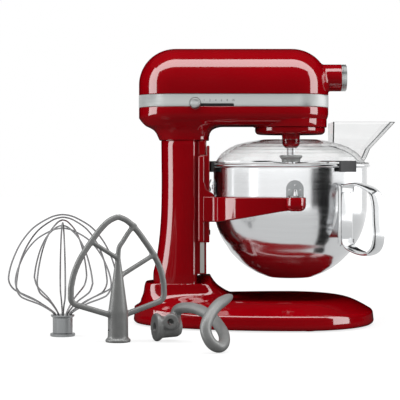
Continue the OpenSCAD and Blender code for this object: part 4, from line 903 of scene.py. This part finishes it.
def fuse(name, shape, cutters):
    """One cast-looking mesh from overlapping shapes, with its holes cut."""
    piece = new_object(name, build_mesh(name, shape))
    grid = piece.modifiers.new("grid", "REMESH")
    grid.mode = "VOXEL"
    grid.voxel_size = VOXEL * MM
    ease = piece.modifiers.new("ease", "SMOOTH")
    ease.factor = 0.5
    ease.iterations = EASE_STEPS
    tools = []
    for k, cutter in enumerate(cutters):
        cut_name = f"{name}_cut_{k}"
        tool = new_object(cut_name, build_mesh(cut_name, cutter, weld=False))
        hole = piece.modifiers.new(f"hole_{k}", "BOOLEAN")
        hole.operation = "DIFFERENCE"
        hole.solver = "EXACT"
        hole.object = tool
        tools.append(tool)
    done = evaluated_mesh(piece)
    piece.modifiers.clear()
    piece.data = done
    for tool in tools:
        bpy.data.objects.remove(tool)
    return piece


# Half width and height of the flat beater
MID, TOP = 68.0, 170.0


def bar(points, w, t):
    return sweep([(x, 0, z) for x, z in points], rounded(t, w), up=(0, 1, 0))


def beater_shape():
    """Flat beater standing on its socket: two sides, a branch at the top and two cross bars."""
    side = curve([(x * MID, z * TOP) for x, z in (
        (0, 1), (0.19, 0.968), (0.38, 0.9), (0.58, 0.8), (0.79, 0.68), (0.93, 0.56),
        (0.995, 0.45))], 5)
    side += arc(57, 62.9, 11, 0, -72, 8) + [(10, 36.6)]
    branch = curve([(x * MID, z * TOP) for x, z in (
        (0, 0.66), (0.02, 0.75), (0.1, 0.8), (0.24, 0.88), (0.38, 0.94))], 5)
    socket = spin([(0, 0), (16.7, 0), (17.5, 0.8), (17.5, 3.2), (16.6, 4), (14.4, 5.2), (14, 7),
                   (13.6, 40), (3.4, 115), (0, 115.6)], steps=64)
    mirrored = [(-x, z) for x, z in side]
    return merge(socket, bar(side, 8, 8), bar(mirrored, 8, 8), bar(branch, 6, 8),
                 bar([(0, 0.665 * TOP), (-0.61 * MID, 0.815 * TOP)], 6, 8),
                 bar([(0, 0.515 * TOP), (0.83 * MID, 0.7 * TOP)], 6, 8))


def turned_over(shape):
    """Half a turn about the Y axis."""
    return [(-x, y, -z) for x, y, z in shape[0]], shape[1]


# Place on the floor in millimetres and turn about Z in degrees
BEATER_AT, FITTED_AT = (-249, -256, 0, 25), (0, DRIVE_Y, 257.1)
HOOK_AT, HOOK_BOSS_AT = (-194, -247.4, 19.2, 20), (-174.5, -249, 28.2, -10)

bore = spin([(SHAFT_BORE_R, -2), (SHAFT_BORE_R, 31)], steps=40)
cross = spin([(2.3, -30), (2.3, 30)], at=(0, 0, 16), axis="x", steps=24)
beater = beater_shape()
loose = fuse("loose_beater", move(beater, *BEATER_AT),
             (move(bore, *BEATER_AT), move(cross, *BEATER_AT)))
dress(loose, COATING, "flat_beater", ("flat_beater",), sharp=40)
fitted = fuse("drive_beater", move(turned_over(beater), *FITTED_AT),
              (move(turned_over(bore), *FITTED_AT),))
dress(fitted, COATING, "beater_spindle", ("fitted_beater",), sharp=40)


def hook_shape():
    """Spiral rod with a rounded tip, its socket and the socket's side boss."""
    path = curve([(-172, -242, 24), (-169, -250, 42), (-155, -266, 47.5), (-138, -287, 46),
                  (-121, -313, 38), (-108, -348, 23), (-107, -371, 12), (-114, -384, 8),
                  (-124, -387, 14), (-130.5, -381, 29), (-127, -370, 43), (-115, -350, 58),
                  (-96, -322, 68)], 8)

    def section(t):
        r = 7.5 if t < 0.93 else 7.5 * sqrt(max(0.12, 1 - ((t - 0.93) / 0.07) ** 2))
        return circle(r, 20)

    socket = spin([(0, -6), (18.2, -6), (19.2, -5), (19.2, -1), (17.7, 1), (15, 4), (14, 26),
                   (11, 31), (0, 31)], axis="x", steps=64)
    return merge(sweep(path, section), move(socket, *HOOK_AT), hook_boss(11.0, 0, 17))


def hook_boss(r, start, end):
    """Side boss of the hook, which points towards -Y and a little towards -X."""
    shape = spin([(r - 1, start), (r, start + 1), (r, end - 1.2), (r - 1.2, end)], axis="y",
                 steps=48)
    return move(flip(shape), *HOOK_BOSS_AT)


hook_bore = spin([(SHAFT_BORE_R, -8), (SHAFT_BORE_R, 20)], axis="x", steps=40)
hook = fuse("dough_hook_rod", hook_shape(), (move(hook_bore, *HOOK_AT), hook_boss(4.4, 9, 20)))
dress(hook, COATING, "dough_hook", ("dough_hook",), sharp=40)


# ---- Whip ----

def whip_shapes():
    """Six bent wires through the ferrule; each passes a little below the one before it."""
    rows = [(0.27, 0.065), (0.5, 0.15), (0.78, 0.222), (0.91, 0.265), (0.985, 0.33), (0.99, 0.41),
            (0.92, 0.55), (0.77, 0.72), (0.54, 0.87), (0.25, 0.967), (0.07, 0.997)]
    wire_r, wide, start = 1.2, 75.8, 30
    cage = 172 - start - wire_r
    shapes = []
    for k in range(6):
        low = 0.055 * (k % 2)
        top = 1 - 4 * wire_r * k / cage * 0.8
        side = [(12, 31.5)]
        for r, h in rows:
            if h < 0.5:
                h -= low * min(1, h * 4)
            side.append((r * wide, start + cage * h * (1 if h < 0.4 else top)))
        path = [(12, 29)] + curve(side + [(-x, z) for x, z in reversed(side)], 6) + [(-12, 29)]
        wire = sweep([(x, 0, z) for x, z in path], circle(wire_r, 12), up=(0, 1, 0))
        shapes.append(move(wire, -331, -182, 0, 8 + 30 * k))
    return shapes


add("whip_cage_wires", merge(*whip_shapes()), WIRE, "whip", ("whip_wires",),
    sharp=60)


# ---- CAD nodes that keep their shape ----

def refinish(material, *names, bevel=0.0, sharp=35):
    """New material and softened edges for CAD nodes."""
    for name in names:
        obj = nodes[name]
        for slot in obj.material_slots:
            slot.material = material
        if not obj.material_slots:
            obj.data.materials.append(material)
        mesh = obj.data
        mesh.polygons.foreach_set("use_smooth", [True] * len(mesh.polygons))
        mesh.set_sharp_from_angle(angle=radians(sharp))
        if bevel:
            bevel_edges(obj, bevel, 2, sharp)


refinish(RUBBER, "rubber_feet")
refinish(PLASTIC, "bottom_cover", "cord_gland", "speed_track", "slide_block", "speed_stem",
         "brush_holders")
refinish(PLASTIC, "rim_clips", bevel=0.5)
refinish(BLACK, "hub_screw", "lift_lever", bevel=0.6)
refinish(MACHINED, "column_bolts", "neck_bolts", "housing_screws", "hub_sleeve", "ring_gear",
         "shaft_bushes", "rotor_shaft", "motor_stator", "layshaft", "hub_drive_shaft",
         "centre_shaft", "bevel_wheel", "beater_shaft", "planet_pinion", "lift_crank",
         "latch_spring", "latch_stud", "rotor_core", "centre_bearings")
refinish(EAR_STEEL, "whip_ferrule", bevel=0.3)
refinish(BAND, "hub_ring", "hub_cap", bevel=0.3)
refinish(RAIL, "guide_rails", bevel=0.3)
refinish(BRONZE, "lever_bush", "beater_bushes")
refinish(CAST, "gear_plate_front", "gear_plate_rear", "motor_cradle", "motor_end_plate",
         "cooling_fan")
refinish(COPPER, "stator_coils", "commutator")
refinish(BOARD, "control_board")
refinish(EAR_STEEL, "bowl_ears", bevel=0.4)
refinish(CLEAR, "pouring_shield")


# ---- Studio ----

def lamp(name, at, size, facing, radiance):
    """Soft rectangle of light; place and size are in metres."""
    data = bpy.data.lights.new(name, "AREA")
    data.shape = "RECTANGLE"
    data.size, data.size_y = size
    data.energy = radiance * pi * size[0] * size[1]
    obj = new_object(name, data)
    obj.location = at
    obj.rotation_euler = Vector(facing).to_track_quat("-Z", "Y").to_euler()
    obj.visible_camera = False
    return obj


def light_path(tree):
    """One for rays from the camera, off gloss or through glass."""
    link = tree.links.new
    path = tree.nodes.new("ShaderNodeLightPath")
    first = tree.nodes.new("ShaderNodeMath")
    second = tree.nodes.new("ShaderNodeMath")
    for node in (first, second):
        node.operation = "MAXIMUM"
    link(path.outputs["Is Camera Ray"], first.inputs[0])
    link(path.outputs["Is Glossy Ray"], first.inputs[1])
    link(first.outputs[0], second.inputs[0])
    link(path.outputs["Is Transmission Ray"], second.inputs[1])
    return second.outputs[0]


def make_world():
    """White where it is seen, half as bright as a light."""
    world = bpy.data.worlds.new("studio")
    bpy.context.scene.world = world
    tree, out = blank_tree(world, "ShaderNodeOutputWorld")
    link = tree.links.new
    seen = tree.nodes.new("ShaderNodeBackground")
    seen.inputs[0].default_value = (1, 1, 1, 1)
    dim = tree.nodes.new("ShaderNodeBackground")
    dim.inputs[0].default_value = (0.5, 0.5, 0.5, 1)
    mix = tree.nodes.new("ShaderNodeMixShader")
    link(light_path(tree), mix.inputs[0])
    link(dim.outputs[0], mix.inputs[1])
    link(seen.outputs[0], mix.inputs[2])
    link(mix.outputs[0], out.inputs[0])


def stage_piece(name, shape, material):
    """Piece of the studio from a shape in metres."""
    verts, faces = shape
    mesh = bpy.data.meshes.new(name)
    mesh.from_pydata(verts, [], faces)
    obj = new_object(name, mesh)
    mesh.materials.append(material)
    return obj


def reflections_only(obj):
    obj.visible_camera = obj.visible_diffuse = obj.visible_transmission = False
    obj.visible_shadow = False


def floor_material():
    """Pale floor: matt under the lamps, and glowing outwards into the white behind it."""
    material = bpy.data.materials.new("studio_floor")
    tree, out = blank_tree(material, "ShaderNodeOutputMaterial")
    link = tree.links.new
    matt = tree.nodes.new("ShaderNodeBsdfDiffuse")
    path = tree.nodes.new("ShaderNodeLightPath")
    dull = tree.nodes.new("ShaderNodeMath")
    dull.operation = "MULTIPLY_ADD"
    dull.inputs[1].default_value = -0.28
    dull.inputs[2].default_value = 0.3
    link(path.outputs["Is Glossy Ray"], dull.inputs[0])
    link(dull.outputs[0], matt.inputs[0])
    glow = tree.nodes.new("ShaderNodeEmission")
    coord = tree.nodes.new("ShaderNodeTexCoord")
    span = tree.nodes.new("ShaderNodeVectorMath")
    span.operation = "LENGTH"
    link(coord.outputs["Object"], span.inputs[0])
    fade = tree.nodes.new("ShaderNodeMapRange")
    fade.interpolation_type = "SMOOTHSTEP"
    for key, value in (("From Min", 0.3), ("From Max", 2.6), ("To Min", GLOW), ("To Max", 1.0)):
        fade.inputs[key].default_value = value
    link(span.outputs["Value"], fade.inputs["Value"])
    link(fade.outputs[0], glow.inputs[1])
    both = tree.nodes.new("ShaderNodeAddShader")
    mix = tree.nodes.new("ShaderNodeMixShader")
    link(matt.outputs[0], both.inputs[0])
    link(glow.outputs[0], both.inputs[1])
    link(light_path(tree), mix.inputs[0])
    link(matt.outputs[0], mix.inputs[1])
    link(both.outputs[0], mix.inputs[2])
    link(mix.outputs[0], out.inputs[0])
    return material


def glow_material(name, strength):
    material = bpy.data.materials.new(name)
    tree, out = blank_tree(material, "ShaderNodeOutputMaterial")
    glow = tree.nodes.new("ShaderNodeEmission")
    glow.inputs[1].default_value = strength
    tree.links.new(glow.outputs[0], out.inputs[0])
    return material


def wall(name, first, last, strength):
    """Part of a round studio wall, seen only in reflections; angles run from +X towards +Y."""
    rings = [[(ROOM_R * cos(radians(a)), ROOM_R * sin(radians(a)), z)
              for a in range(first, last + 1, 5)] for z in (0.001, ROOM_H)]
    n = len(rings[0])
    faces = [(i, i + 1, n + i + 1, n + i) for i in range(n - 1)]
    obj = stage_piece(name, (rings[0] + rings[1], faces), glow_material(name + "_face", strength))
    reflections_only(obj)
    return obj


def lit_only(source, pieces_lit):
    """The light or glowing piece reaches these pieces alone."""
    group = bpy.data.collections.new(source.name + "_receivers")
    for piece in pieces_lit:
        group.objects.link(piece)
    source.light_linking.receiver_collection = group


def square(half, z):
    return [(-half, -half, z), (half, -half, z), (half, half, z), (-half, half, z)], [(0, 1, 2, 3)]


# Glow of the floor at its middle, radiance of the paint's lamps, size of the room in metres
GLOW, LAMP = 0.76, 2.75
ROOM_R, ROOM_H = 3.2, 2.6

make_world()
floor = stage_piece("floor", square(12, 0), floor_material())

# Gloss paint is shot against dark cloth; steel and clear plastic show the pale studio
soft = {PAINT, COATING, INK, RUBBER, PLASTIC, BLACK}
shown = [o for o in bpy.context.scene.objects if o.type == "MESH" and o.get("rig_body")]
enamel = [o for o in shown if o.data.materials[0] in soft]
metal = [o for o in shown if o.data.materials[0] not in soft]
banded = [o for o in metal if o.data.materials[0] is BAND]

wall("dark_wall", 175, 356, 0.01)
mat_corners = [(r * sin(radians(a)), -r * cos(radians(a)), 0.0008)
               for r in (0.15, ROOM_R) for a in (37, 58)]
reflections_only(stage_piece("dark_mat", (mat_corners, [(0, 1, 3, 2)]),
                             glow_material("dark_mat_face", 0.02)))
pale_wall = wall("pale_wall", -5, 175, 0.9)
reflections_only(stage_piece("dark_roof", square(ROOM_R + 0.2, ROOM_H),
                             glow_material("dark_roof_face", 0.01)))
lit_only(pale_wall, metal)
lit_only(floor, metal)

# These would be mirrored in the paint around them
for o in shown:
    if o.name in ("bowl_shell", "pouring_shield", "drive_beater", "loose_beater", "dough_hook_rod"):
        o.visible_glossy = False

for source in (lamp("left_box", (-1.41, -0.315, 0.70), (0.67, 1.4), (1, 0, 0), LAMP),
               lamp("right_box", (1.40, -0.47, 0.70), (0.74, 1.4), (-1, 0, 0), LAMP),
               lamp("top_box", (-0.005, -0.425, 1.40), (2.81, 0.61), (0, 0, -1), LAMP)):
    lit_only(source, enamel + [floor])
for source in (lamp("front_box", (-0.62, -1.70, 0.75), (3.7, 1.5), (0.30, 1, 0), 1.15),
               lamp("side_box", (1.40, 0.10, 0.70), (1.88, 1.4), (-1, 0, 0), 1.15),
               lamp("left_fill", (-1.41, -0.48, 0.70), (1.27, 1.4), (1, 0, 0), 0.9),
               lamp("corner_box", (1.15, -1.35, 0.70), (1.3, 1.4), (-0.65, 0.76, 0), 0.9),
               lamp("over_box", (-0.1, -0.2, 1.40), (2.4, 1.2), (0, 0, -1), 1.3)):
    lit_only(source, banded if source.name == "corner_box" else metal)


# ---- Camera ----

camera = new_object("camera", bpy.data.cameras.new("camera"))
camera.location = (-0.1377, -2.27, 0.228)
camera.rotation_euler = (pi / 2, 0, 0)
camera.data.lens = 133.5
camera.data.sensor_width = 36
camera.data.shift_y = -0.065
bpy.context.scene.camera = camera
bpy.context.scene.view_settings.view_transform = "Standard"

bpy.context.view_layer.update()
